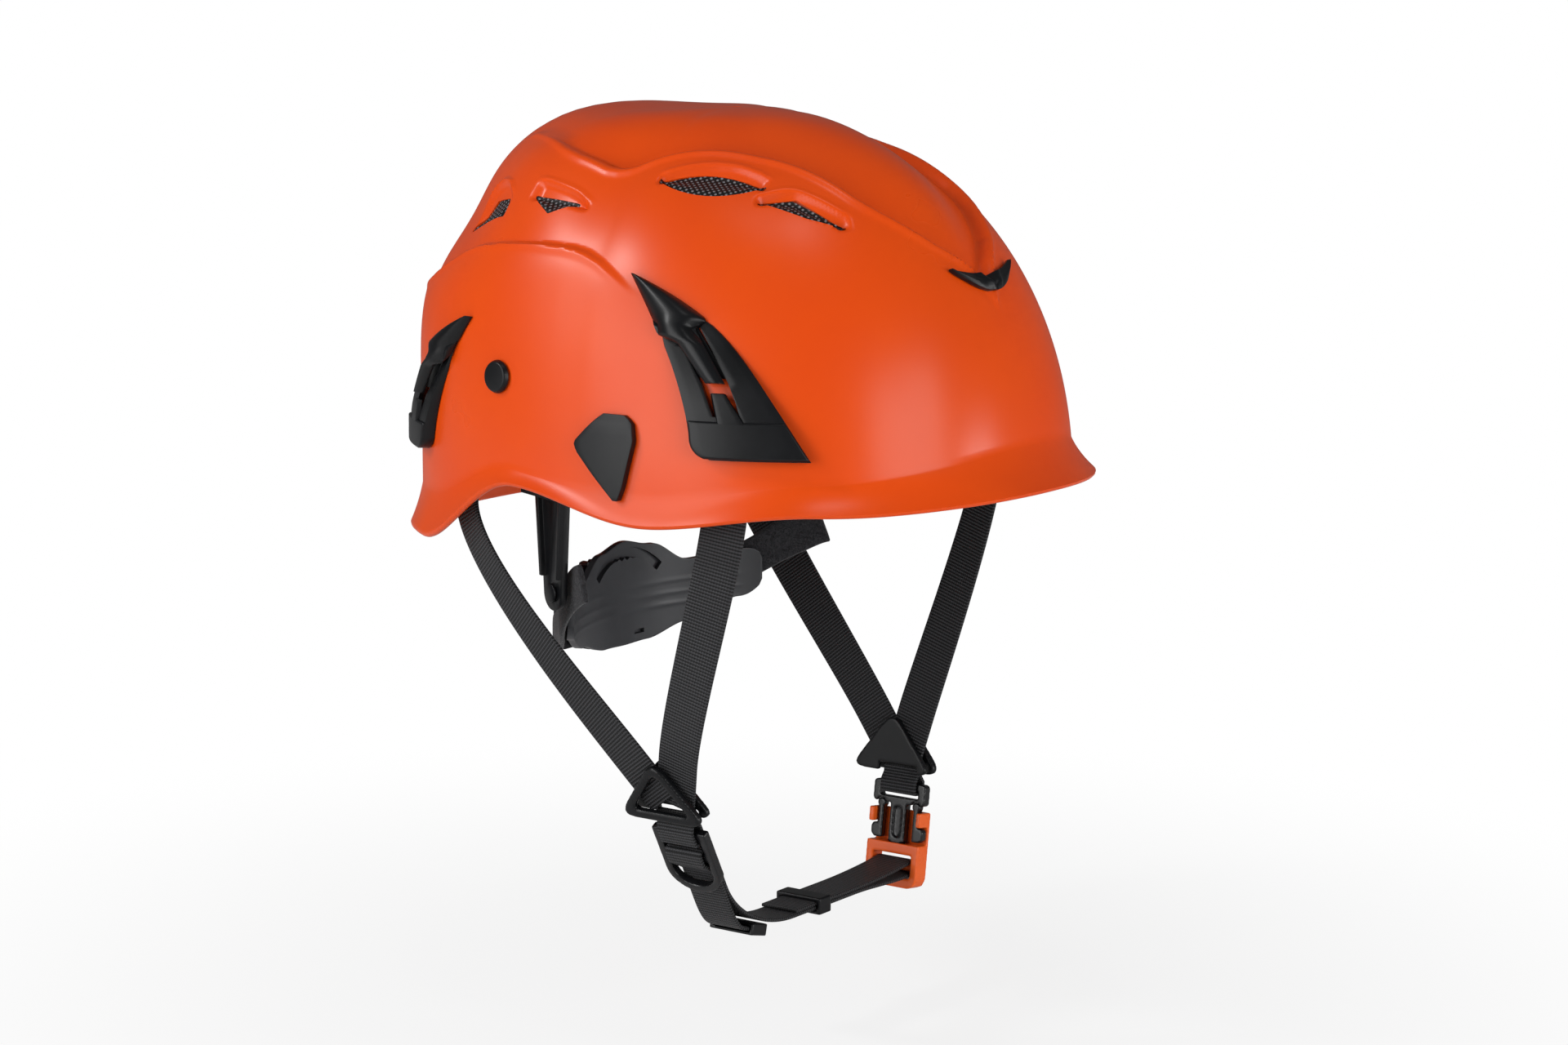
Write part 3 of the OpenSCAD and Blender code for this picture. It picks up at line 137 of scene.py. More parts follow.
def lookup(table: Table, at: float, curve: Callable[[float], float] = lambda s: s) -> float:
    """Reads a table between its entries.

    Args:
        table: Pairs of place and value, in rising order of place.
        at: The place to read.
        curve: Shapes the share between two entries.

    Returns:
        The value at that place, held constant beyond both ends.
    """
    if at <= table[0][0]:
        return table[0][1]
    for (a0, v0), (a1, v1) in zip(table, table[1:]):
        if at <= a1:
            return lerp(v0, v1, curve((at - a0) / (a1 - a0)))
    return table[-1][1]


def eased(table: Table, at: float) -> float:
    """Reads a table with a smooth step between its entries."""
    return lookup(table, at, ease)


def blurred(table: Table, at: float, reach: float) -> float:
    """Reads a table at a place and at both ends of its reach, and takes the mean."""
    return sum(lookup(table, at + step) for step in (-reach, 0, reach)) / 3


def bell(distance: float, width: float) -> float:
    """Bell curve of height 1."""
    return math.exp(-((distance / width) ** 2))


def sin_d(degrees: float) -> float:
    """Sine of an angle in degrees."""
    return math.sin(math.radians(degrees))


def cos_d(degrees: float) -> float:
    """Cosine of an angle in degrees."""
    return math.cos(math.radians(degrees))


def polar(t: float, r: float, z: float) -> Vector:
    """Point at plan angle t, radius r and height z."""
    return Vector((r * sin_d(t), -r * cos_d(t), z))


def fold(t: float) -> float:
    """Angle from the front, from 0 to 180 degrees on either side."""
    m = t % 360
    return 360 - m if m > 180 else m


def linear(code: str) -> Row:
    """Turns an sRGB hex code into a linear colour.

    Args:
        code: Six hex digits.

    Returns:
        Linear red, green, blue and full alpha.
    """
    parts = [int(code[i : i + 2], 16) / 255 for i in (0, 2, 4)]
    red, green, blue = (c / 12.92 if c <= 0.04045 else ((c + 0.055) / 1.055) ** 2.4 for c in parts)
    return (red, green, blue, 1.0)


# Inside the shell the relief's edges are this much wider
SOFT = 6.0


@dataclass(frozen=True)
class Dome:
    """Outer form of the shell: a superellipse in plan, fuller in profile towards the rear."""

    half_width: float = 105.5
    front: float = 132.0
    rear: float = 131.0
    crown: float = 145.0
    plan_power: float = 2.23
    wall: float = 3.0
    trough_depth: float = 4.5
    trough_tail: float = 1.3
    bead: float = 0.95
    rear_corner: float = 2.6
    corner_at: Flat = (22.0, 66.0)
    corner_spread: Flat = (30.0, 22.0)
    hollow_depth: float = 7.5
    hollow_at: Flat = (144.5, 105.0)
    hollow_spread: Flat = (26.0, 22.0)
    shoulder_step: float = 2.5
    shoulder_bead: float = 0.45
    shoulder_fall: float = 60.0
    relief_floor: float = 20.0
    plate_end: float = 84.0
    blur: float = 5.0
    trough_half: Table = ((-124, -7), (-112, 0), (-106, 13), (-95, 23.8), (-80, 32.9), (-60, 35.8), (-46, 38.3),
                          (-28, 43.7), (-15, 51), (2, 61.9), (9, 65.9), (33, 63.9), (44, 58.9), (69, 41.5))
    shoulder_line: Table = ((76, 80), (86, 90), (90, 93.7), (95, 96.7), (102.5, 98), (115.5, 98.7), (132.5, 95.4),
                            (141, 83.6), (155, 74), (180, 70))
    rim_line: Table = ((0, 8.5), (42, 5), (74, -2.5), (106, 7.5), (136, -20.5), (180, -23))
    crease_rise: Table = ((0, 17), (45, 11), (75, 10), (102, 5.5), (134, 18), (180, 16))
    flare_line: Table = ((0, 13), (30, 9.1), (70, 3.5), (105, 3.5), (140, 5), (180, 5))

    def fullness(self, t: float) -> float:
        """Power of the profile's curve at angle t."""
        return eased(((0, 2.22), (45, 2.05), (90, 2.35), (135, 3.2), (180, 3.3)), fold(t))

    def reach(self, t: float) -> float:
        """Plan radius at angle t.

        Args:
            t: Plan angle.

        Returns:
            The radius.
        """
        end = self.front if cos_d(t) > 0 else self.rear
        p = self.plan_power
        return ((abs(sin_d(t)) / self.half_width) ** p + (abs(cos_d(t)) / end) ** p) ** (-1 / p)

    def profile(self, t: float, a: float) -> Flat:
        """Radius and height of the plain dome at plan angle t and profile angle a.

        Args:
            t: Plan angle.
            a: Profile angle.

        Returns:
            Radius and height.
        """
        n, r = self.fullness(t), self.reach(t)
        if a <= 0:
            return (r, self.crown * math.tan(math.radians(a)))
        c, s = max(cos_d(a), 0.0), sin_d(a)
        k = (c**n + s**n) ** (-1 / n)
        return (r * k * c, self.crown * k * s)

    def normal(self, t: float, a: float) -> Flat:
        """Outward direction of the plain dome, as radius and height.

        Args:
            t: Plan angle.
            a: Profile angle.

        Returns:
            Its parts along the radius and the height.
        """
        if a <= 0:
            return (1.0, 0.0)
        n, r = self.fullness(t), self.reach(t)
        p = self.profile(t, a)
        x = (max(p[0], 0.0) / r) ** (n - 1) / r
        y = (p[1] / self.crown) ** (n - 1) / self.crown
        size = math.hypot(x, y)
        return (x / size, y / size)

    def angle_at(self, t: float, z: float) -> float:
        """Profile angle of the plain dome at height z.

        Args:
            t: Plan angle.
            z: Height.

        Returns:
            The angle in degrees.
        """
        if z <= 0:
            return math.degrees(math.atan(z / self.crown))
        n, h = self.fullness(t), min(0.999, z / self.crown)
        return math.degrees(math.atan2(h, (1 - h**n) ** (1 / n)))

    def relief(self, t: float, p: Flat, soft: float) -> float:
        """Height of the moulded relief: sunk top plate, hollow rear quarters and rear shoulder.

        Args:
            t: Plan angle.
            p: Radius and height of the plain dome there.
            soft: Widens the relief's edges; zero gives the outer skin with its rolled plate edge.

        Returns:
            Offset along the dome's normal.
        """
        if p[1] < self.relief_floor:
            return 0.0
        x, y, around = abs(p[0] * sin_d(t)), -p[0] * cos_d(t), fold(t)
        total = self.plate(x, y, soft) if y < self.plate_end else 0.0
        if not soft:
            (side, rear), (wide, long) = self.corner_at, self.corner_spread
            total += self.rear_corner * (bell(x - side, wide) + bell(x + side, wide)) * bell(y - rear, long)
        hollow = bell(around - self.hollow_at[0], self.hollow_spread[0])
        total -= self.hollow_depth * hollow * bell(p[1] - self.hollow_at[1], self.hollow_spread[1])
        below = blurred(self.shoulder_line, around, self.blur) - p[1]
        fall = 1 - ease(below / self.shoulder_fall)
        if soft:
            return total + self.shoulder_step * ease(below / 3.0) * fall * ease((around - 82) / 8)
        fade = ease((around - 76) / 24)
        total += self.shoulder_step * ease(below / 2.4) * fall * fade
        return total + self.shoulder_bead * fade * bell(below - 2.6, 1.5)

    def plate(self, x: float, y: float, soft: float) -> float:
        """Sunk top plate: crowned along its middle, with a rolled bead at its edge.

        Args:
            x: Distance from the midline.
            y: Place from front to rear.
            soft: Widens the edge; zero gives the outer skin.

        Returns:
            Offset along the dome's normal.
        """
        half = blurred(self.trough_half, y, self.blur)
        inside = half - x
        depth = self.trough_depth * (1 - ease((y + 10) / 70))
        if soft:
            return -depth * ease((inside + soft) / (5 + soft)) if y < 70 else 0.0
        tail = self.trough_tail * ease((y + 30) / 50) * (1 - ease((y - 62) / 16))
        crown = ease((half - math.hypot(x, 7) - 5) / 28)
        sunk = depth * (1 - 0.9 * crown) + tail * (1 - ease((inside - 4) / 16))
        bead = self.bead * ease((depth + tail) / 2.0) * bell(inside + 1.3, 1.4)
        return bead - sunk * ease((inside + 0.2) / 3.6)

    def point(self, t: float, a: float, off: float = 0.0, soft: float = 0.0) -> Vector:
        """Point on the dome at plan angle t and profile angle a, moved out by off.

        Args:
            t: Plan angle.
            a: Profile angle.
            off: Distance out of the dome.
            soft: Widens the relief's edges.

        Returns:
            The point.
        """
        p, m = self.profile(t, a), self.normal(t, a)
        d = off + self.relief(t, p, soft)
        return polar(t, p[0] + d * m[0], p[1] + d * m[1])

    def near(self, t: float, z: float, x: float, y: float, off: float) -> Vector:
        """Point at x rearward and y upward along the dome from the point at t, z.

        Args:
            t: Plan angle.
            z: Height.
            x: Distance rearward.
            y: Distance upward.
            off: Distance out of the dome.

        Returns:
            The point.
        """
        a0 = self.angle_at(t, z)
        a = a0 + y / ((self.point(t, a0 + 1) - self.point(t, a0 - 1)).length / 2)
        step = (self.point(t + 1, a) - self.point(t - 1, a)).length / 2
        return self.point(t + x / step, a, off)

    def axes(self, t: float, z: float) -> Matrix:
        """Frame on the dome: rearward, up along it, outward, and its origin.

        Args:
            t: Plan angle.
            z: Height.

        Returns:
            The frame.
        """
        along = (self.near(t, z, 2, 0, 0) - self.near(t, z, -2, 0, 0)).normalized()
        rise = (self.near(t, z, 0, 2, 0) - self.near(t, z, 0, -2, 0)).normalized()
        out = along.cross(rise).normalized()
        up = out.cross(along)
        return Matrix.Translation(self.near(t, z, 0, 0, 0)) @ Matrix((along, up, out)).transposed().to_4x4()

    def rim(self, t: float) -> float:
        """Height of the rim."""
        return eased(self.rim_line, fold(t))

    def crease(self, t: float) -> float:
        """Height at which the lip leaves the dome."""
        return self.rim(t) + eased(self.crease_rise, fold(t))

    def lip(self, t: float, h: float) -> Vector:
        """Outer face of the lip, from the crease at h 0 to the rim at h 1.

        Args:
            t: Plan angle.
            h: Share of the way from the crease to the rim.

        Returns:
            The point.
        """
        p = self.point(t, self.angle_at(t, self.crease(t)))
        r = math.hypot(p.x, p.y) + eased(self.flare_line, fold(t)) * (0.6 * h + 0.4 * h**2)
        return polar(t, r, lerp(p.z, self.rim(t) + self.wall / 2, h))

    def wall_at(self, t: float, z: float, off: float) -> Vector:
        """Point at height z on a wall off inside the dome.

        Args:
            t: Plan angle.
            z: Height.
            off: Distance inside the dome.

        Returns:
            The point.
        """
        a = 2 * z - self.point(t, self.angle_at(t, z), -off, SOFT).z
        b = a + z - self.point(t, self.angle_at(t, a), -off, SOFT).z
        return self.point(t, self.angle_at(t, b), -off, SOFT)


DOME = Dome()


class Bench:
    """Modelling steps, as they would be done by hand."""

    @staticmethod
    def fresh(obj: Obj | None = None) -> None:
        """Leaves edit mode, clears the selection and picks one object.

        Args:
            obj: The object to pick, or none.
        """
        if bpy.context.object and bpy.context.object.mode != "OBJECT":
            bpy.ops.object.mode_set(mode="OBJECT")
        bpy.ops.object.select_all(action="DESELECT")
        if obj:
            obj.select_set(True)
            bpy.context.view_layer.objects.active = obj

    @staticmethod
    def edit(obj: Obj, *steps: Callable[[], object]) -> None:
        """Runs edit-mode steps with all of a mesh selected.

        Args:
            obj: The mesh.
            *steps: What to do, in order.
        """
        Bench.fresh(obj)
        bpy.ops.object.mode_set(mode="EDIT")
        bpy.ops.mesh.select_all(action="SELECT")
        for step in steps:
            step()
        bpy.ops.object.mode_set(mode="OBJECT")

    @staticmethod
    def apply(obj: Obj, kind: str, **settings: object) -> None:
        """Adds a modifier with its settings and applies it.

        Args:
            obj: The mesh.
            kind: Kind of modifier.
            **settings: Its properties.
        """
        Bench.fresh(obj)
        modifier = obj.modifiers.new(kind.lower(), kind)
        for key, value in settings.items():
            setattr(modifier, key, value)
        bpy.ops.object.modifier_apply(modifier=modifier.name)

    @staticmethod
    def merge() -> None:
        """Edit step: merges the points that lie together."""
        bpy.ops.mesh.remove_doubles(threshold=2e-5)

    @staticmethod
    def outward() -> None:
        """Edit step: turns the faces outward."""
        bpy.ops.mesh.normals_make_consistent(inside=False)

    @staticmethod
    def clean(obj: Obj) -> None:
        """Merges doubles and turns the faces outward."""
        Bench.edit(obj, Bench.merge, Bench.outward)

    @staticmethod
    def named(name: str) -> Obj:
        """Names the active object and its mesh.

        Args:
            name: The new name.

        Returns:
            The object.
        """
        obj = bpy.context.object
        obj.name = obj.data.name = name
        return obj

    @staticmethod
    def on_side(obj: Obj, side: Side) -> Obj:
        """Carries a solid of the left side over to a side.

        Args:
            obj: The solid.
            side: Where it goes.

        Returns:
            The solid.
        """
        for vertex in obj.data.vertices:
            vertex.co = side.put(vertex.co)
        Bench.clean(obj)
        return obj

    @staticmethod
    def round_edges(obj: Obj, width: float, segments: int = 2, angle: float = 40) -> None:
        """Rounds the edges that are sharper than an angle."""
        Bench.apply(obj, "BEVEL", width=width * MM, segments=segments, limit_method="ANGLE",
                    angle_limit=math.radians(angle), use_clamp_overlap=True)

    @staticmethod
    def smooth(obj: Obj, angle: float = 35) -> None:
        """Shades smooth up to an angle between faces."""
        Bench.fresh(obj)
        bpy.ops.object.shade_smooth_by_angle(angle=math.radians(angle))

    @staticmethod
    def grid(name: str, rows: int, cols: int) -> Obj:
        """Adds a flat unit grid.

        Args:
            name: Name of the object.
            rows: Faces along y.
            cols: Faces along x.

        Returns:
            The grid.
        """
        Bench.fresh()
        bpy.ops.mesh.primitive_grid_add(x_subdivisions=cols, y_subdivisions=rows, size=1)
        return Bench.named(name)

    @staticmethod
    def sheet(name: str, rows: int, cols: int, place: Place) -> Obj:
        """Adds a grid and lays it over a form.

        Args:
            name: Name of the object.
            rows: Faces along v.
            cols: Faces along u.
            place: Gives the point for u, v from 0 to 1 and w 1.

        Returns:
            The sheet, with its seam and poles merged.
        """
        obj = Bench.grid(name, rows, cols)
        for vertex in obj.data.vertices:
            vertex.co = place(vertex.co.x + 0.5, vertex.co.y + 0.5, 1.0) * MM
        Bench.edit(obj, Bench.merge)
        return obj

    @staticmethod
    def block(name: str, rows: int, cols: int, place: Place, width: float = 1.0,
              lengths: Table = ((0, 0), (1, 1))) -> Obj:
        """Adds a thick grid and bends it to a form.

        Args:
            name: Name of the object.
            rows: Faces along v.
            cols: Faces along u.
            place: Gives the point for u, v from 0 to 1 and w 0 on the low face, 1 on the top.
            width: Width of the piece, for its UV map.
            lengths: Length along the piece at each share of v, for its UV map.

        Returns:
            A closed solid.
        """
        obj = Bench.grid(name, rows, cols)
        Bench.apply(obj, "SOLIDIFY", thickness=1.0, offset=-1.0, use_even_offset=False)
        for loop in obj.data.uv_layers[0].data:
            loop.uv = (loop.uv.x * width * MM, lookup(lengths, loop.uv.y) * MM)
        for vertex in obj.data.vertices:
            u, v, w = vertex.co.x + 0.5, vertex.co.y + 0.5, 1.0 + vertex.co.z
            vertex.co = place(u, v, w) * MM
        Bench.clean(obj)
        return obj

    @staticmethod
    def prism(name: str, outline: Sequence[Flat], frame: Matrix, low: float, high: float) -> Obj:
        """Extrudes an outline along the z axis of a frame.

        Args:
            name: Name of the object.
            outline: Corners in the frame's x and y.
            frame: Where the outline stands.
            low: Lower end.
            high: Upper end.

        Returns:
            A closed solid.
        """
        Bench.fresh()
        count = len(outline)
        bpy.ops.mesh.primitive_circle_add(vertices=count, radius=1, fill_type="NGON")
        obj = Bench.named(name)
        Bench.edit(obj, lambda: bpy.ops.mesh.extrude_region_move(TRANSFORM_OT_translate={"value": (0, 0, 1)}))
        angles = [math.atan2(vertex.co.y, vertex.co.x) for vertex in obj.data.vertices]
        order = {index: rank for rank, index in enumerate(sorted(range(count), key=lambda i: angles[i]))}
        for vertex, angle in zip(obj.data.vertices, angles):
            nearest = min(range(count), key=lambda i: abs(math.remainder(angles[i] - angle, 2 * math.pi)))
            x, y = outline[order[nearest]]
            vertex.co = frame @ Vector((x, y, high if vertex.co.z > 0.5 else low)) * MM
        Bench.clean(obj)
        return obj

    @staticmethod
    def cut(obj: Obj, cutters: Sequence[Obj]) -> None:
        """Cuts solids out of an object and removes them.

        Args:
            obj: What is cut.
            cutters: The solids to cut with.
        """
        for cutter in cutters:
            Bench.apply(obj, "BOOLEAN", operation="DIFFERENCE", solver="EXACT", object=cutter)
            bpy.data.objects.remove(cutter)

    @staticmethod
    def join(parts: Sequence[Obj], name: str) -> Obj:
        """Joins solids into one object.

        Args:
            parts: The solids.
            name: Name of the whole.

        Returns:
            The whole.
        """
        Bench.fresh(parts[0])
        for part in parts:
            part.select_set(True)
        bpy.ops.object.join()
        return Bench.named(name)

    @staticmethod
    def refined(node: str, name: str, width: float, segments: int = 2) -> Obj:
        """Takes a merged copy of a constructed piece and rounds its edges.

        Args:
            node: The constructed piece.
            name: Name of the copy.
            width: Width of the rounding.
            segments: Steps in the rounding.

        Returns:
            The rounded copy.
        """
        obj = bpy.data.objects.new(name, FRAME["nodes"][node].data.copy())
        obj.data.name = name
        obj.data.materials.clear()
        bpy.context.scene.collection.objects.link(obj)
        Bench.edit(obj, lambda: bpy.ops.mesh.remove_doubles(threshold=1e-6),
                   lambda: bpy.ops.mesh.dissolve_limited(angle_limit=math.radians(1.0)))
        if width > 0:
            Bench.round_edges(obj, width, segments, 32)
        return obj

    @staticmethod
    def moulded(node: str, name: str, voxel: float, passes: int, swell: float = 0.0) -> Obj:
        """Takes a copy of a constructed piece and softens every edge, as a mould would.

        Args:
            node: The constructed piece.
            name: Name of the copy.
            voxel: Grain of the remeshed copy.
            passes: Rounds of smoothing.
            swell: How far its faces move out, to fill what the smoothing takes off thin bars.

        Returns:
            The softened copy.
        """
        obj = Bench.refined(node, name, 0)
        Bench.apply(obj, "REMESH", mode="VOXEL", voxel_size=voxel * MM)
        Bench.apply(obj, "SMOOTH", factor=0.5, iterations=passes)
        if swell:
            Bench.apply(obj, "DISPLACE", strength=swell * MM, mid_level=0.0)
        return obj

    @staticmethod
    def hand_over(obj: Obj, finish: "Finish", body: Body | None, nodes: Iterable[str],
                  angle: float = 35) -> Obj:
        """Dresses a piece, puts it on its body and hides what it stands for.

        Args:
            obj: The finished mesh.
            finish: Its surface.
            body: The body it rides on, or none to leave it unattached.
            nodes: Constructed pieces it stands for.
            angle: Largest angle shaded smooth.

        Returns:
            The piece.
        """
        Bench.smooth(obj, angle)
        obj.data.materials.clear()
        obj.data.materials.append(finish.material())
        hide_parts(*nodes)
        if body:
            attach(obj, body.value)
        LOG.info("%s: %d faces", obj.name, len(obj.data.polygons))
        return obj


def add_node(tree: Tree, kind: str, inputs: dict[str | int, object] | None = None,
             **settings: object) -> Node:
    """Adds a shader node with its settings and links.

    Args:
        tree: The material's node tree.
        kind: Node type.
        inputs: Values or output sockets by input name.
        **settings: Properties of the node.

    Returns:
        The node.
    """
    node = tree.nodes.new(kind)
    for key, value in settings.items():
        setattr(node, key, value)
    for key, value in (inputs or {}).items():
        if isinstance(value, Socket):
            tree.links.new(value, node.inputs[key])
        else:
            node.inputs[key].default_value = value
    return node


@dataclass(frozen=True)
class Finish:
    """A surface: two close colours, a grain and a gloss."""

    name: str
    slot: str
    colour: str
    second: str
    gloss: tuple[float, float] = (0.4, 0.5)
    patch: float = 40.0
    grain: float = 0.6
    relief: float = 0.1
    specular: float = 0.4

    def material(self) -> bpy.types.Material:
        """Gives the material, made on first use."""
        found = bpy.data.materials.get(self.name)
        return found if found else self.make()

    def make(self) -> bpy.types.Material:
        """Builds the node tree.

        Returns:
            The new material.
        """
        material = bpy.data.materials.new(self.name)
        material.use_nodes = True
        tree = material.node_tree
        shader = tree.nodes["Principled BSDF"]
        shader.inputs["Specular IOR Level"].default_value = self.specular
        where = add_node(tree, "ShaderNodeTexCoord")
        self.dress(tree, shader, where)
        return material

    def blotch(self, tree: Tree, where: Node, size: float) -> Node:
        """Adds cloudy noise with patches of a size in millimetres."""
        return add_node(tree, "ShaderNodeTexNoise", {"Vector": where.outputs["Object"], "Scale": 1000 / size,
                                                     "Detail": 3.0})

    def colours(self, tree: Tree, fac: Socket) -> Socket:
        """Blends the two colours over the middle of a pattern.

        Args:
            tree: The node tree.
            fac: The pattern.

        Returns:
            The colour.
        """
        ramp = add_node(tree, "ShaderNodeValToRGB", {"Fac": fac})
        ramp.color_ramp.elements[0].position = 0.3
        ramp.color_ramp.elements[1].position = 0.7
        ramp.color_ramp.elements[0].color = linear(self.colour)
        ramp.color_ramp.elements[1].color = linear(self.second)
        return ramp.outputs["Color"]

    def bump(self, tree: Tree, height: Socket, strength: float,
             depth: float) -> Socket:
        """Turns a pattern into surface relief of a depth in millimetres."""
        node = add_node(tree, "ShaderNodeBump", {"Height": height, "Strength": strength, "Distance": depth * MM})
        return node.outputs["Normal"]

    def cover(self, tree: Tree, shader: Node, pattern: Socket, strength: float,
              depth: float, dull: float, nap: float = 0.0) -> None:
        """Draws a pattern in colour and relief, with one gloss all over.

        Args:
            tree: The node tree.
            shader: Its surface shader.
            pattern: The pattern, from 0 to 1.
            strength: Strength of the relief.
            depth: Depth of the relief in millimetres.
            dull: Roughness.
            nap: Share of light scattered by loose fibres.
        """
        tree.links.new(self.colours(tree, pattern), shader.inputs["Base Color"])
        tree.links.new(self.bump(tree, pattern, strength, depth), shader.inputs["Normal"])
        shader.inputs["Roughness"].default_value = dull
        shader.inputs["Sheen Weight"].default_value = nap

    def dress(self, tree: Tree, shader: Node, where: Node) -> None:
        """Moulded plastic: cloudy colour, varied gloss and a fine grain.

        Args:
            tree: The node tree.
            shader: Its surface shader.
            where: Its texture coordinates.
        """
        cloud = self.blotch(tree, where, self.patch)
        grain = self.blotch(tree, where, self.grain)
        span = add_node(tree, "ShaderNodeMapRange",
                        {"Value": cloud.outputs["Fac"], "From Min": 0.3, "From Max": 0.7,
                         "To Min": self.gloss[0], "To Max": self.gloss[1]})
        tree.links.new(self.colours(tree, cloud.outputs["Fac"]), shader.inputs["Base Color"])
        tree.links.new(span.outputs["Result"], shader.inputs["Roughness"])
        tree.links.new(self.bump(tree, grain.outputs["Fac"], 0.5, self.relief), shader.inputs["Normal"])


@dataclass(frozen=True)
class Foam(Finish):
    """Moulded bead foam: fused beads with dark lines between them."""

    bead: float = 4.0

    def dress(self, tree: Tree, shader: Node, where: Node) -> None:
        """Beads as cells: darker and lower where they meet, dull all over.

        Args:
            tree: The node tree.
            shader: Its surface shader.
            where: Its texture coordinates.
        """
        cells = add_node(tree, "ShaderNodeTexVoronoi",
                         {"Vector": where.outputs["Object"], "Scale": 1000 / self.bead})
        self.cover(tree, shader, cells.outputs["Distance"], 0.4, 0.5, 0.85)


# A wave texture of scale 1 has this distance between its ridges
WAVE_SCALE = 0.314


@dataclass(frozen=True)
class Webbing(Finish):
    """Woven strap: cross ribs with the warp threads running over them."""

    rib: float = 1.3
    thread: float = 1.1

    def wave(self, tree: Tree, spot: Socket, along: str, pitch: float) -> Socket:
        """Adds even ridges across one direction of a map, with a pitch in millimetres.

        Args:
            tree: The node tree.
            spot: The map.
            along: Its axis.
            pitch: From ridge to ridge.

        Returns:
            The ridges, from 0 to 1.
        """
        node = add_node(tree, "ShaderNodeTexWave", {"Vector": spot, "Scale": WAVE_SCALE / (pitch * MM)},
                        bands_direction=along)
        return node.outputs["Fac"]

    def dress(self, tree: Tree, shader: Node, where: Node) -> None:
        """Ribs and threads raise the surface, and their crests are painted lighter as a painted highlight.

        Args:
            tree: The node tree.
            shader: Its surface shader.
            where: Its texture coordinates.
        """
        ribs = self.wave(tree, where.outputs["UV"], "Y", self.rib)
        threads = self.wave(tree, where.outputs["UV"], "X", self.thread)
        weave = add_node(tree, "ShaderNodeMath", {0: threads, 1: 0.35, 2: ribs}, operation="MULTIPLY_ADD")
        # The lighter colour on the crests is a painted highlight on black webbing
        half = add_node(tree, "ShaderNodeMath", {0: weave.outputs[0], 1: 0.74}, operation="MULTIPLY")
        tree.links.new(self.colours(tree, half.outputs[0]), shader.inputs["Base Color"])
        tree.links.new(self.bump(tree, weave.outputs[0], 0.7, self.relief), shader.inputs["Normal"])
        shader.inputs["Roughness"].default_value = self.gloss[0]
        shader.inputs["Sheen Weight"].default_value = 0.05


@dataclass(frozen=True)
class Knit(Finish):
    """Knitted pad cover: small loops with a soft nap."""

    loop: float = 1.6

    def dress(self, tree: Tree, shader: Node, where: Node) -> None:
        """Loops as rounded cells; the nap scatters light at the edges.

        Args:
            tree: The node tree.
            shader: Its surface shader.
            where: Its texture coordinates.
        """
        cells = add_node(tree, "ShaderNodeTexVoronoi",
                         {"Vector": where.outputs["Object"], "Scale": 1000 / self.loop, "Randomness": 0.35})
        self.cover(tree, shader, cells.outputs["Distance"], 0.6, 0.35, 0.9, 0.3)


@dataclass(frozen=True)
class Felt(Finish):
    """Pressed fibre: a heather of short light and dark hairs."""

    def dress(self, tree: Tree, shader: Node, where: Node) -> None:
        """Stretched noise for the hairs, with a soft edge sheen.

        Args:
            tree: The node tree.
            shader: Its surface shader.
            where: Its texture coordinates.
        """
        hairs = add_node(tree, "ShaderNodeTexNoise",
                         {"Vector": where.outputs["Object"], "Scale": 1000 / self.grain, "Detail": 6.0,
                          "Distortion": 1.5})
        self.cover(tree, shader, hairs.outputs["Fac"], 0.7, 0.4, 0.95, 0.25)


@dataclass(frozen=True)
class Mesh(Webbing):
    """Insect mesh: diagonal threads painted grey as painted sheen, with near-black holes between them as painted
    shade.
    """

    slant: float = 38.0

    def dress(self, tree: Tree, shader: Node, where: Node) -> None:
        """Two sets of threads at a slant; the holes are painted almost black as painted shade of the cavity behind.

        Args:
            tree: The node tree.
            shader: Its surface shader.
            where: Its texture coordinates.
        """
        turned = add_node(tree, "ShaderNodeMapping", {"Vector": where.outputs["UV"],
                                                      "Rotation": (0, 0, math.radians(self.slant))})
        warp = self.wave(tree, turned.outputs["Vector"], "X", self.thread)
        weft = self.wave(tree, turned.outputs["Vector"], "Y", self.rib)
        over = add_node(tree, "ShaderNodeMath", {0: warp, 1: weft}, operation="MULTIPLY")
        # Light grey on the threads is painted sheen, near black between them is painted shade
        self.cover(tree, shader, over.outputs[0], 0.8, 0.4, 0.5)


# Injection-moulded ABS: even, deep orange with a satin skin that softens every highlight
SHELL_ORANGE = Finish("abs_shell_orange", "shell_orange", "EC500A", "E84B07", (0.27, 0.33), 45, 0.8, 0.012, 0.36)
# Glass-filled nylon: near black, satin, with a faint grain from the mould
BLACK_NYLON = Finish("nylon_black_satin", "black_plastic", "0B0C0E", "101114", (0.30, 0.38), 18, 0.7, 0.03, 0.3)
# Thinner bent nylon sheet, painted a shade greyer than the thick mouldings: painted light for the cradle, which
# sits in shade under the shell
CRADLE_NYLON_PAINTED_LIGHT = Finish("nylon_cradle_painted_light", "black_plastic", "38393C", "3E3F42", (0.30, 0.38), 18, 0.7, 0.03, 0.3)
# Acetal: black and glossier, the bars and loops throw small hard highlights
BLACK_ACETAL = Finish("acetal_black_gloss", "black_plastic", "0C0C0E", "111114", (0.22, 0.30), 14, 0.9, 0.02, 0.5)
# Acetal in orange: brighter than the shell and slick
BUCKLE_ORANGE = Finish("acetal_buckle_orange", "buckle_orange", "FA6A26", "F4621E", (0.24, 0.32), 14, 0.9, 0.02)
# Bead foam liner: dark grey, dull, with the beads just visible
LINER_FOAM = Foam("bead_foam_grey", "liner_foam", "2C2C2F", "1E1E20", specular=0.2)
# Nylon webbing: black, ribbed across, its rib crests painted grey as a painted highlight; the ribs are drawn a
# little coarser than life so that they show
WEBBING = Webbing("nylon_webbing_black", "webbing", "030304", "38383B", (0.5, 0.5), relief=0.4, specular=0.3)
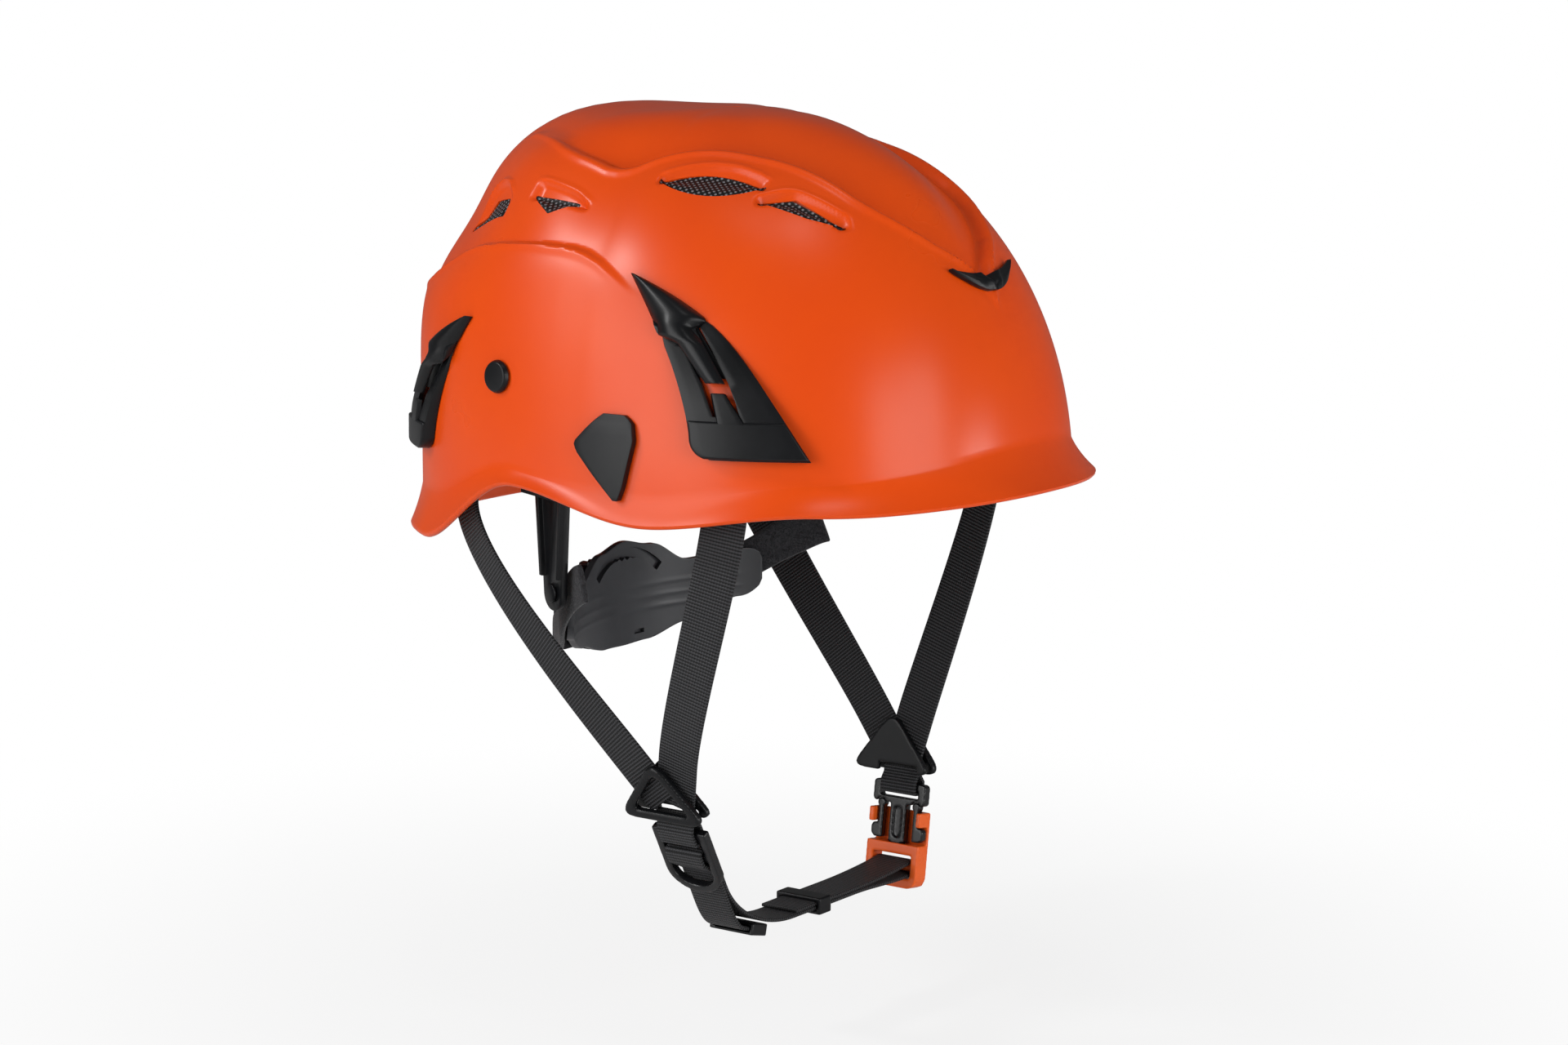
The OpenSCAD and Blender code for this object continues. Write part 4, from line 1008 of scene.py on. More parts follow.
# Knitted polyester over foam: soft, dark, with a nap
PAD_FABRIC = Knit("knit_polyester_black", "pad_fabric", "242427", "141416", specular=0.2)
# Wool felt on the side bands: dark heather
FELT = Felt("felt_dark_grey", "felt", "18181A", "3E3E41", grain=1.2, specular=0.15)
# Woven polyester insect mesh behind the vents: its grey threads are painted sheen and its near-black holes painted
# shade
VENT_MESH = Mesh("polyester_mesh_black", "mesh", "050506", "808084", thread=1.8, rib=1.8)


@dataclass(frozen=True)
class Vent:
    """A vent and the scoop that slopes into it: place, outline, brow line over it."""

    t: float
    z: float
    outline: tuple[Flat, ...]
    brow: Table
    depth: float = 3.0
    step: float = 0.4
    bead: float = 0.35
    mesh: float = 0.6
    corner: float = 0.8

    def frame(self) -> Matrix:
        """Frame at the vent's centre."""
        return DOME.axes(self.t, self.z)

    def rounded(self, grow: float = 0.0) -> list[Flat]:
        """Outline with its corners rounded.

        Args:
            grow: Moves the outline outward.

        Returns:
            Corners in order.
        """
        points, radius, out = list(self.outline), self.corner + grow, []
        for i, (x, y) in enumerate(points):
            before, after = points[i - 1], points[(i + 1) % len(points)]
            first = math.atan2(y - before[1], x - before[0]) - math.pi / 2
            turn = math.remainder(math.atan2(after[1] - y, after[0] - x) - math.pi / 2 - first, 2 * math.pi)
            steps = 3 if abs(turn) > 0.6 else 1
            for k in range(steps + 1):
                angle = first + turn * k / steps
                out.append((x + radius * math.cos(angle), y + radius * math.sin(angle)))
        return out

    def span(self, x: float) -> Flat:
        """Lower and upper edge of the outline at x, held at its ends.

        Args:
            x: Place along the vent.

        Returns:
            The two edges.
        """
        xs = [p[0] for p in self.outline]
        x = min(max(x, min(xs) + 0.3), max(xs) - 0.3)
        points = list(self.outline)
        found = [lerp(y0, y1, (x - x0) / (x1 - x0)) for (x0, y0), (x1, y1) in zip(points, points[1:] + points[:1])
                 if x0 != x1 and min(x0, x1) <= x <= max(x0, x1)]
        return (min(found), max(found))

    def scoop(self, x: float, y: float) -> float:
        """Offset of the slope that leads into the vent, with the rolled edge of its brow.

        Args:
            x: Place along the vent.
            y: Place across it.

        Returns:
            Offset along the dome's normal.
        """
        first, last = self.brow[0][0], self.brow[-1][0]
        ends = ease((x - first + 0.8) / 3.2) * ease((last + 0.8 - x) / 3.2)
        brow = blurred(self.brow, x, 3)
        low, high = self.span(x)
        drop = self.step + (1 - self.step) * min(1.0, max(0.0, (brow - y) / max(2.5, brow - high)))
        fade = 1 - ease((high - y) / max(2.4, high - low + 0.6))
        near = ease((x - first + 2) / 5) * ease((last + 2 - x) / 5) * ease((y - brow + 3) / 3)
        bead = self.bead * bell(max(y - brow, 0.0) - 0.8, 1.0) * near * (1 - ends * ease((brow - y) / 1.2))
        return bead - self.depth * ends * ease((brow - y + 0.4) / 2.4) * drop * fade


def lens(length: float, up: float, down: float, turn: float) -> tuple[Flat, ...]:
    """Outline of the long vent, from its lower edge round to its upper one.

    Args:
        length: Its length.
        up: Height of its upper edge.
        down: Depth of its lower edge.
        turn: Rise of its front end.

    Returns:
        The outline.
    """
    low = [(i / 6, down * ((i / 6) ** 2 - 1)) for i in range(-6, 7)]
    high = [(i / 6, up * (1 - (i / 6) ** 2)) for i in range(5, -6, -1)]
    return tuple((f * length / 2, y + turn * (1 - f) / 2) for f, y in low + high)


VENTS = (
    Vent(64.6, 119.8, lens(38.5, 4.51, 6.49, 4.4),
         ((-21, 8.4), (-19.5, 9.8), (-8, 12.6), (3, 11.2), (15, 6.2), (20.5, 2.6))),
    Vent(39.2, 112.0, ((13.5, 4.9), (1.1, 5.6), (-15, -7.6), (-3, -3.6)),
         ((-18.5, -3.4), (-8, 4.2), (1.5, 9.8), (4, 10), (15.5, 7.4))),
    Vent(111.6, 111.1, ((10.4, 2.6), (-9.8, 4.2), (-0.2, -2.2)),
         ((-16, 5), (-11.5, 7.6), (-6, 8.8), (9.5, 9.8), (12.5, 9.2)), 2.6, 0.7, 0.5, 0.5),
    Vent(134.5, 109.2, ((14.5, -9), (4, 3.8), (-7.8, 5.5), (-11, -0.8)),
         ((-12.5, 7), (-10, 10.5), (-3, 12.6), (6, 11), (13, 3)), 2.0, 0.7, 0.9, 0.4),
)


def vent_cutters(name: str, grow: float, low: float, high: float, side: Side) -> list[Obj]:
    """Makes the solids that open a wall at one side's vents.

    Args:
        name: Start of the cutters' names.
        grow: How far the outlines move outward.
        low: Inner end, from the dome.
        high: Outer end, from the dome.
        side: The side they are on.

    Returns:
        A cutter for each vent.
    """
    plain = [Bench.prism(f"{name}_{side.value}_{i}", vent.rounded(grow), vent.frame(), low, high)
             for i, vent in enumerate(VENTS)]
    return [Bench.on_side(cutter, side) for cutter in plain]


@dataclass
class Shell:
    """Outer shell: dome with its relief, flared lip and vents."""

    around: int = 480
    inner_rows: int = 32
    rim_rows: int = 6
    lip_rows: int = 12
    dome_rows: int = 140
    inner_off: float = 4.6
    relief_band: Flat = (66.0, 134.0)
    scoop_box: tuple[float, float, float] = (26.0, 22.0, 14.0)
    frames: list[tuple[Vent, Matrix]] = field(default_factory=list)

    def skin(self, u: float, v: float, _: float) -> Vector:
        """Whole skin: down the inside from the crown, round the rim, up the lip and the dome.

        Args:
            u: Share of the way round.
            v: Share of the way along the skin.
            _: Not used.

        Returns:
            The point.
        """
        t = 360 * u
        row = v * (self.inner_rows + self.rim_rows + self.lip_rows + self.dome_rows)
        if row < self.inner_rows - 0.5:
            return self.inside(t, row / self.inner_rows)
        row -= self.inner_rows
        if row < self.rim_rows - 0.5:
            angle, half = 180 - 180 * row / self.rim_rows, DOME.wall / 2
            p = DOME.lip(t, 1)
            return polar(t, math.hypot(p.x, p.y) - half + half * cos_d(angle), p.z - half * sin_d(angle))
        row -= self.rim_rows
        if row < self.lip_rows - 0.5:
            return DOME.lip(t, 1 - row / self.lip_rows)
        return self.outside(t, (row - self.lip_rows) / self.dome_rows)

    def inside(self, t: float, s: float) -> Vector:
        """Inner face, from the crown at s 0 to the rim at s 1.

        Args:
            t: Plan angle.
            s: Share of the way down.

        Returns:
            The point.
        """
        if s < 0.8:
            off = lerp(self.inner_off, DOME.wall, ease((s - 0.5) / 0.3))
            return DOME.point(t, lerp(90, DOME.angle_at(t, DOME.crease(t)), s / 0.8), -off, SOFT)
        p = DOME.lip(t, (s - 0.8) / 0.2)
        return polar(t, math.hypot(p.x, p.y) - DOME.wall, p.z)

    def outside(self, t: float, s: float) -> Vector:
        """Dome with its relief and scoops, its rows closer together at the vents.

        Args:
            t: Plan angle.
            s: Share of the way from the crease to the crown.

        Returns:
            The point.
        """
        first, second = (DOME.angle_at(t, z) for z in self.relief_band)
        a = lookup(((0, DOME.angle_at(t, DOME.crease(t))), (0.14, first), (0.88, second), (1, 90)), s)
        p = DOME.point(t, a)
        folded = Vector((abs(p.x), p.y, p.z))
        off = 0.0
        for vent, inverse in self.frames:
            local = inverse @ folded
            if all(abs(value) < limit for value, limit in zip(local, self.scoop_box)):
                off += vent.scoop(local.x, local.y)
        return DOME.point(t, a, off) if off else p

    def build(self) -> None:
        """Lays the skin and cuts the vents."""
        self.frames = [(vent, vent.frame().inverted()) for vent in VENTS]
        rows = self.inner_rows + self.rim_rows + self.lip_rows + self.dome_rows
        obj = Bench.sheet("shell_skin", rows, self.around, self.skin)
        Bench.edit(obj, Bench.outward)
        for side in Side:
            Bench.cut(obj, vent_cutters("vent_cutter", 0.0, -14, 12, side))
        Bench.hand_over(obj, SHELL_ORANGE, Body.HELMET, ["outer_shell"], 40)


@dataclass
class Liner:
    """Foam liner inside the shell, open behind the vents."""

    around: int = 144
    rows: int = 44
    outer: float = 5.6
    thickness: float = 12.0
    edge_line: Table = ((0, 34), (42, 30), (74, 25), (106, 33), (128, 19), (150, -2), (180, -6))
    vent_margin: float = 4.0
    pocket_half: float = 14.6
    pocket_top: float = 74.5
    pocket_depth: Flat = (-22.0, 6.2)

    def outer_face(self, u: float, v: float, _: float) -> Vector:
        """Face towards the shell, from its edge at v 0 to the crown at v 1.

        Args:
            u: Share of the way round.
            v: Share of the way up.
            _: Not used.

        Returns:
            The point.
        """
        t = 360 * u
        a = lerp(DOME.angle_at(t, eased(self.edge_line, fold(t))), 90, v)
        return DOME.point(t, a, -self.outer, SOFT)

    def build(self) -> None:
        """Lays the liner, rounds its edge and opens it behind the vents and for the height arms."""
        obj = Bench.sheet("liner_foam", self.rows, self.around, self.outer_face)
        Bench.edit(obj, Bench.outward)
        Bench.apply(obj, "SOLIDIFY", thickness=self.thickness * MM, offset=-1.0, use_even_offset=True)
        Bench.round_edges(obj, 3.0, 3, 50)
        for side in Side:
            Bench.cut(obj, vent_cutters("liner_cutter", self.vent_margin, -40, 4, side) + [self.pocket(side)])
        Bench.hand_over(obj, LINER_FOAM, Body.HELMET, ["inner_liner"], 40)

    def pocket(self, side: Side) -> Obj:
        """Makes the cutter for a height arm's pocket.

        Args:
            side: The side it is on.

        Returns:
            The cutter.
        """
        box = [Vector(corner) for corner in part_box(f"arm_anchor_{side.value}")]
        middle = (box[0] + box[1]) / 2 / MM
        out = Vector((middle.x, middle.y, 0)).normalized()
        frame = Matrix((Vector((-out.y, out.x, 0)), Vector((0, 0, 1)), out)).transposed().to_4x4()
        reach = Vector((middle.x, middle.y)).length
        half, top = self.pocket_half, self.pocket_top
        return Bench.prism(f"pocket_cutter_{side.value}", [(-half, 0), (half, 0), (half, top), (-half, top)], frame,
                           *(reach + depth for depth in self.pocket_depth))


@dataclass
class VentMesh:
    """Woven panels that close the vents, almost flush at their lower edge."""

    thickness: float = 0.6
    lap: float = 1.3
    under: float = 0.35

    def build(self) -> None:
        """Makes the two panels of each quarter as one piece."""
        for side in Side:
            for place, vents in (("front", VENTS[:2]), ("rear", VENTS[2:])):
                panels = [self.panel(vent, side, f"mesh_{place}_{side.value}_{i}") for i, vent in enumerate(vents)]
                obj = Bench.join(panels, f"woven_mesh_{place}_{side.value}")
                Bench.hand_over(obj, VENT_MESH, Body.HELMET, [f"vent_mesh_{place}_{side.value}"])

    def panel(self, vent: Vent, side: Side, name: str) -> Obj:
        """Lays one panel behind a vent.

        Args:
            vent: The vent it closes.
            side: The side it is on.
            name: Name of the object.

        Returns:
            The panel.
        """
        xs = [p[0] for p in vent.outline]

        def place(u: float, v: float, w: float) -> Vector:
            """Point of the panel, following the dome."""
            x = lerp(min(xs) - self.lap, max(xs) + self.lap, u)
            low, high = vent.span(x)
            y = lerp(low - self.lap, high + self.lap, v)
            off = min(-vent.mesh, vent.scoop(x, y) - self.under) - self.thickness * (1 - w)
            return side.put(DOME.near(vent.t, vent.z, x, y, off))

        obj = Bench.block(name, 10, 24, place)
        inverse = vent.frame().inverted()
        for loop, uv in zip(obj.data.loops, obj.data.uv_layers[0].data):
            local = inverse @ (side.put(obj.data.vertices[loop.vertex_index].co) / MM)
            uv.uv = (local.x * MM, local.y * MM)
        return obj


# The clips are drawn 73 mm high and stand 65.5 mm high
CLIP_RISE = 65.5 / 73


@dataclass
class ShellTrim:
    """Black fittings on the shell: front crescent, lamp clips, visor covers, side plugs."""

    rows: int = 20
    crescent_at: Flat = (0.0, 86.0)
    crescent_half: float = 19.0
    cover_at: Flat = (81.0, 24.0)
    stem_radius: float = 4.0
    stem_half: float = 3.0
    clip_foot: float = -28.0
    clip_height: float = 73.0
    slot: tuple[Flat, ...] = ((18.0, 19.6), (10.2, 25.2), (-3.0, 2.5), (-6.6, -5.5), (-8.9, -12.6), (1.6, -11.2),
                              (7.0, 2.0))
    shield_front: Table = ((-17, -4.5), (-12, -6.5), (5, -10.5), (12, -9.5), (14.5, -6))
    shield_rear: Table = ((-17, -1.5), (-8, 7.5), (0, 15), (2.5, 16), (4, 15.5), (12.5, 7), (14.5, 4))

    def slab(self, name: str, at: Flat, rows: int, cols: int, edges: Callable[[float], Row],
             low: float, inset: float, side: Side, bevel: float) -> Obj:
        """Makes a slab that follows the shell.

        Args:
            name: Name of the object.
            at: Angle and height of its own origin.
            rows: Faces along its height.
            cols: Faces across.
            edges: Gives y, first x, last x and top offset for a share of the height.
            low: Offset of its low face.
            inset: How far the top face's edges draw in.
            side: The side it is on.
            bevel: Rounding of its edges.

        Returns:
            The slab.
        """

        def place(u: float, v: float, w: float) -> Vector:
            """Point of the slab."""
            y, x0, x1, top = edges(v)
            x = lerp(x0 + inset * w, x1 - inset * w, u)
            return side.put(DOME.near(*at, x, y, lerp(low, top, w)))

        obj = Bench.block(name, rows, cols, place)
        Bench.round_edges(obj, bevel, 3, 38)
        return obj

    def build(self) -> None:
        """Makes every fitting on both sides."""
        self.crescent()
        for side in Side:
            self.clip(side, "front", (58, 49.3), 1.0, 1)
            self.clip(side, "rear", (140, 34), 0.84, -1, 0.16)
            self.cover(side)
            plug = Bench.refined(f"side_plug_{side.value}", f"plug_{side.value}", 0.5, 3)
            Bench.hand_over(plug, BLACK_NYLON, Body.HELMET, [f"side_plug_{side.value}"])

    def crescent(self) -> None:
        """Makes the crescent at the front end of the sunk top plate."""

        def place(u: float, v: float, w: float) -> Vector:
            """Point of the crescent, thickest below its middle."""
            i = lerp(-1, 1, u)
            low, high = -6.6 + 10.4 * i * i, 0.8 + 3.8 * i * i
            top = 2.0 + 1.2 * bell(v - 0.38, 0.3) - 0.3 * v
            return DOME.near(*self.crescent_at, self.crescent_half * i, lerp(low, high, v), lerp(0.6, top, w))

        obj = Bench.block("front_crescent", 6, 40, place)
        Bench.round_edges(obj, 0.5, 2, 40)
        Bench.hand_over(obj, BLACK_NYLON, Body.HELMET, ["front_trim"], 45)

    def front_edge(self, y: float) -> float:
        """Front edge of a lamp clip at height y."""
        f = min(1.0, max(0.0, (y - self.clip_foot) / self.clip_height))
        return -31.5 + 68.3 * (0.6 * f + 0.4 * f**6)

    @staticmethod
    def rear_edge(y: float) -> float:
        """Rear edge of a lamp clip at height y.

        Args:
            y: Height on the clip.

        Returns:
            The edge's x.
        """
        if y < -20:
            return 4.3 + math.sqrt(max(0.0, 64 - (y + 20) ** 2))
        return 12.3 + 25.7 * ((y + 20) / 65) ** 1.5

    def blade(self, name: str, at: Flat, row: Callable[..., Row], side: Side) -> Obj:
        """Makes a clip's blade: a rounded ridge from the tip that narrows into the free tongue.

        Args:
            name: Name of the object.
            at: Angle and height of the clip's origin.
            row: Scales and turns a row of the clip.
            side: The side it is on.

        Returns:
            The blade.
        """

        def place(u: float, v: float, w: float) -> Vector:
            """Point of the blade."""
            y = lerp(2.0, 44.5, v)
            front = lerp(lerp(-1.4, 10.6, (y - 2) / 22.5), self.front_edge(y), ease((y - 23.5) / 6))
            rear = lerp(lerp(5.8, 17.4, (y - 2) / 16.4), self.rear_edge(y), ease((y - 16.6) / 4))
            crown = lerp(6.8, 2.6, ease((y - 18) / 32) ** 1.2)
            edge = lerp(4.9, 1.2, ease((y - 16) / 10))
            y, x0, x1, top = row(y, front, rear, crown)
            shape = 1 - abs(2 * u - 1) ** 2.4
            low = lerp(3.6, 0.3, ease((y / CLIP_RISE - 23) / 5))
            return side.put(DOME.near(*at, lerp(x0, x1, u), y, lerp(low, lerp(edge, top, shape), w)))

        obj = Bench.block(name, 40, 14, place)
        Bench.round_edges(obj, 0.5, 2, 50)
        return obj

    def clip(self, side: Side, place: str, at: Flat, k: float, way: int, lean: float = 0.0) -> None:
        """Makes a lamp clip: sunk wings, raised foot with its tab, raised tongue with its ridge.

        Args:
            side: The side it is on.
            place: Front or rear.
            at: Angle and height of its own origin.
            k: Size.
            way: Direction of the tip, 1 for rearward.
            lean: Further lean of the whole clip.
        """
        name = f"clip_{place}_{side.value}"

        def row(y: float, x0: float, x1: float, top: float) -> Row:
            """Scales a row, and mirrors it where the clip leans the other way."""
            x = lean * (y - self.clip_foot)
            first, last = (x0 + x) * k, (x1 + x) * k
            return (y * k * CLIP_RISE, *((first, last) if way > 0 else (-last, -first)), top)

        def wings(v: float) -> Row:
            """Whole outline of the clip."""
            y = lerp(self.clip_foot, 40, v)
            tuck = 1.2 * ease((y - 26) / 3)
            return row(y, self.front_edge(y) + tuck, self.rear_edge(y) - max(tuck, 1.2 * ease((y - 18) / 3)),
                       lerp(4.4, 0.7, ease((y + 16) / 46)))

        def foot(v: float) -> Row:
            """Raised foot."""
            y = lerp(-27.6, -12.9, v)
            return row(y, self.front_edge(y) + 0.2, self.rear_edge(y) - 0.2, 5.4)

        def tab(v: float) -> Row:
            """Tab that rises from the foot towards the tongue."""
            y = lerp(-24, -1.8, v)
            front = lookup(((-24, -13), (-13.5, -8.6), (-1.8, -1.8)), y)
            rear = lookup(((-24, -0.5), (-1.8, 4)), y)
            return row(y, front, rear, 5.44 - 1.2 * ease((-13 - y) / 10))

        def slot_shade_sheet(v: float) -> Row:
            """Black sheet under the two slots beside the tongue: painted shade where the clip has only shadowed
            clearance.
            """
            y = lerp(4.6, 25.8, v)
            return row(y, (y - 2.5) * 0.58 - 3.8, min(7.8 + (y - 2) * 0.625, self.rear_edge(y) - 1), 1.4)

        base = self.slab(f"{name}_wings", at, self.rows, 8, wings, 0.3, 0.5, side, 0.01)
        outline = [((x + lean * (y - self.clip_foot)) * k * way, y * k * CLIP_RISE) for x, y in self.slot]
        if sum(a[0] * b[1] - b[0] * a[1] for a, b in zip(outline, outline[1:] + outline[:1])) < 0:
            outline.reverse()
        Bench.cut(base, [Bench.on_side(Bench.prism(f"{name}_slot", outline, DOME.axes(*at), -6, 20), side)])
        Bench.round_edges(base, 0.6, 2, 45)
        parts = [base,
                 self.slab(f"{name}_foot", at, 14, 8, foot, 0.3, 0.5, side, 0.9),
                 # A black sheet fills the slots beside the tongue as painted shade
                 self.slab(f"{name}_bed", at, 8, 4, slot_shade_sheet, 0.3, 0.5, side, 0.01),
                 self.slab(f"{name}_tab", at, 6, 4, tab, 3.6, 0.6, side, 0.8),
                 self.blade(f"{name}_blade", at, row, side)]
        obj = Bench.join(parts, name)
        Bench.hand_over(obj, BLACK_NYLON, Body.HELMET, [f"lamp_clip_{place}_{side.value}"], 40)

    def cover(self, side: Side) -> None:
        """Makes a visor socket cover with its stem.

        Args:
            side: The side it is on.
        """

        def edges(v: float) -> Row:
            """Shield outline, thinner towards its upper edge."""
            y = lerp(self.shield_front[0][0], self.shield_front[-1][0], v)
            return (y, lookup(self.shield_front, y), lookup(self.shield_rear, y), 3 - 1.2 * ease((y - 8) / 6))

        shield = self.slab(f"cover_shield_{side.value}", self.cover_at, 21, 8, edges, 0.3, 0.6, side, 0.9)
        oval = [(way * self.stem_half + self.stem_radius * cos_d(a), self.stem_radius * sin_d(a))
                for way, first in ((1, -90), (-1, 90)) for a in range(first, first + 181, 15)]
        stem = Bench.prism(f"cover_stem_{side.value}", oval, DOME.axes(*self.cover_at), -5, 1)
        obj = Bench.join([shield, Bench.on_side(stem, side)], f"visor_shield_{side.value}")
        Bench.hand_over(obj, BLACK_NYLON, Body(f"{side.value}_cover"), [f"visor_cover_{side.value}"], 40)


@dataclass
class Pads:
    """Soft pads: a four-lobed crown pad and a brow pad on its band."""

    crown_off: float = 18.6
    crown_thickness: float = 6.0
    band_off: float = 18.6
    band_height: float = 24.0
    band_thickness: float = 1.6
    pad_thickness: float = 5.0
    pressure: float = 4.0
    frames: int = 20
    cap: float = 0.8

    @staticmethod
    def brow_z(t: float) -> float:
        """Height of the brow band's middle."""
        return lerp(25, 44, ease((fold(t) - 30) / 75))

    def build(self) -> None:
        """Makes the crown pad, the brow band and the brow pad."""
        self.crown()
        self.band()
        self.brow()

    def inflate(self, obj: Obj) -> None:
        """Swells a pad's cover by cloth pressure, no further than the room its neighbours leave.

        The pads are thinner than a coarse remesh, so the cloth is the modelled cover itself and keeps its channels.

        Args:
            obj: The pad.
        """
        start = [vertex.co.copy() for vertex in obj.data.vertices]
        Bench.fresh(obj)
        bpy.ops.object.modifier_add(type="CLOTH")
        cloth = obj.modifiers[-1]
        cloth.settings.use_pressure = True
        cloth.settings.uniform_pressure_force = self.pressure
        cloth.settings.effector_weights.gravity = 0
        for frame in range(1, self.frames + 1):
            bpy.context.scene.frame_set(frame)
        bpy.ops.object.modifier_apply(modifier=cloth.name)
        bpy.context.scene.frame_set(1)
        for vertex, was in zip(obj.data.vertices, start):
            move = vertex.co - was
            vertex.co = was + move * min(1.0, self.cap * MM / max(move.length, 1e-9))

    def cushion(self, obj: Obj, node: str) -> None:
        """Swells, smooths and dresses a pad's cover.

        Args:
            obj: The modelled cover.
            node: The constructed pad it stands for.
        """
        Bench.clean(obj)
        self.inflate(obj)
        Bench.apply(obj, "SUBSURF", levels=1, render_levels=1)
        Bench.hand_over(obj, PAD_FABRIC, Body.HELMET, [node], 60)

    def crown(self) -> None:
        """Makes the crown pad as a crowned disc with stitched channels."""

        def place(u: float, v: float, _: float) -> Vector:
            """Closed skin: up the back face from the middle, over the edge, and back along the front face."""
            t = 360 * u
            edge = 44 * (1 + 0.16 * cos_d(4 * t)) * (1 + 0.12 * cos_d(t) ** 2)
            back = v < 0.5
            s = v * 2 if back else 2 - v * 2
            s = math.sin(s * math.pi / 2)
            form = math.sqrt(max(0.0, 1 - s**6))
            swell = self.crown_thickness * form * (1 - 0.30 * bell(s - 0.5, 0.07))
            swell *= 1 - 0.25 * ease((s - 0.2) / 0.3) * bell(math.remainder(t - 45, 90), 7)
            edge_fold = self.crown_thickness * 0.2
            drop = edge_fold * (1 - form) if back else max(swell, edge_fold)
            r = max(0.05, s * edge)
            n, c = DOME.fullness(t), r / DOME.reach(t)
            a = math.degrees(math.atan2((1 - c**n) ** (1 / n), c))
            return DOME.point(t, a, -self.crown_off - drop, SOFT)

        self.cushion(Bench.sheet("crown_cushion", 56, 120, place), "crown_pad")

    def band(self) -> None:
        """Makes the brow band."""

        def place(u: float, v: float, w: float) -> Vector:
            """Strip along the brow."""
            t = lerp(-92, 92, u)
            z = self.brow_z(t)
            p = DOME.wall_at(t, z + self.band_height / 2, self.band_off + self.band_thickness * (1 - w))
            height = self.band_height * (1 - 0.3 * ease((fold(t) - 70) / 20))
            return Vector((p.x, p.y, z + (v - 0.5) * height))

        obj = Bench.block("brow_strip", 4, 92, place)
        Bench.round_edges(obj, 0.5, 2, 50)
        Bench.hand_over(obj, BLACK_NYLON, Body.HELMET, ["brow_band"], 40)

    def brow(self) -> None:
        """Makes the brow pad: a soft roll with channels where it folds."""

        def place(u: float, v: float, _: float) -> Vector:
            """Closed section round v, along the brow with u."""
            t = lerp(-66, 66, u)
            f = fold(t) / 66
            z = self.brow_z(t)
            half = self.band_height * 0.62 * (1 - 0.55 * f**8)
            swell = self.pad_thickness * (1 - 0.45 * abs(cos_d(t * 7.5)) ** 30) * (1 - 0.6 * f**8)
            across, rise = -math.cos(2 * math.pi * v), math.sin(2 * math.pi * v)
            lift = swell * (0.12 + 0.88 * max(0.0, rise) ** 0.6) if rise > 0 else swell * 0.12 * (1 + rise)
            p = DOME.wall_at(t, z + self.band_height / 2, self.band_off + self.band_thickness + 0.3 + lift)
            return Vector((p.x, p.y, z + half * across))

        obj = Bench.sheet("brow_cushion", 28, 132, place)
        Bench.edit(obj, lambda: bpy.ops.mesh.select_all(action="DESELECT"), bpy.ops.mesh.select_non_manifold,
                   bpy.ops.mesh.fill)
        self.cushion(obj, "brow_pad")


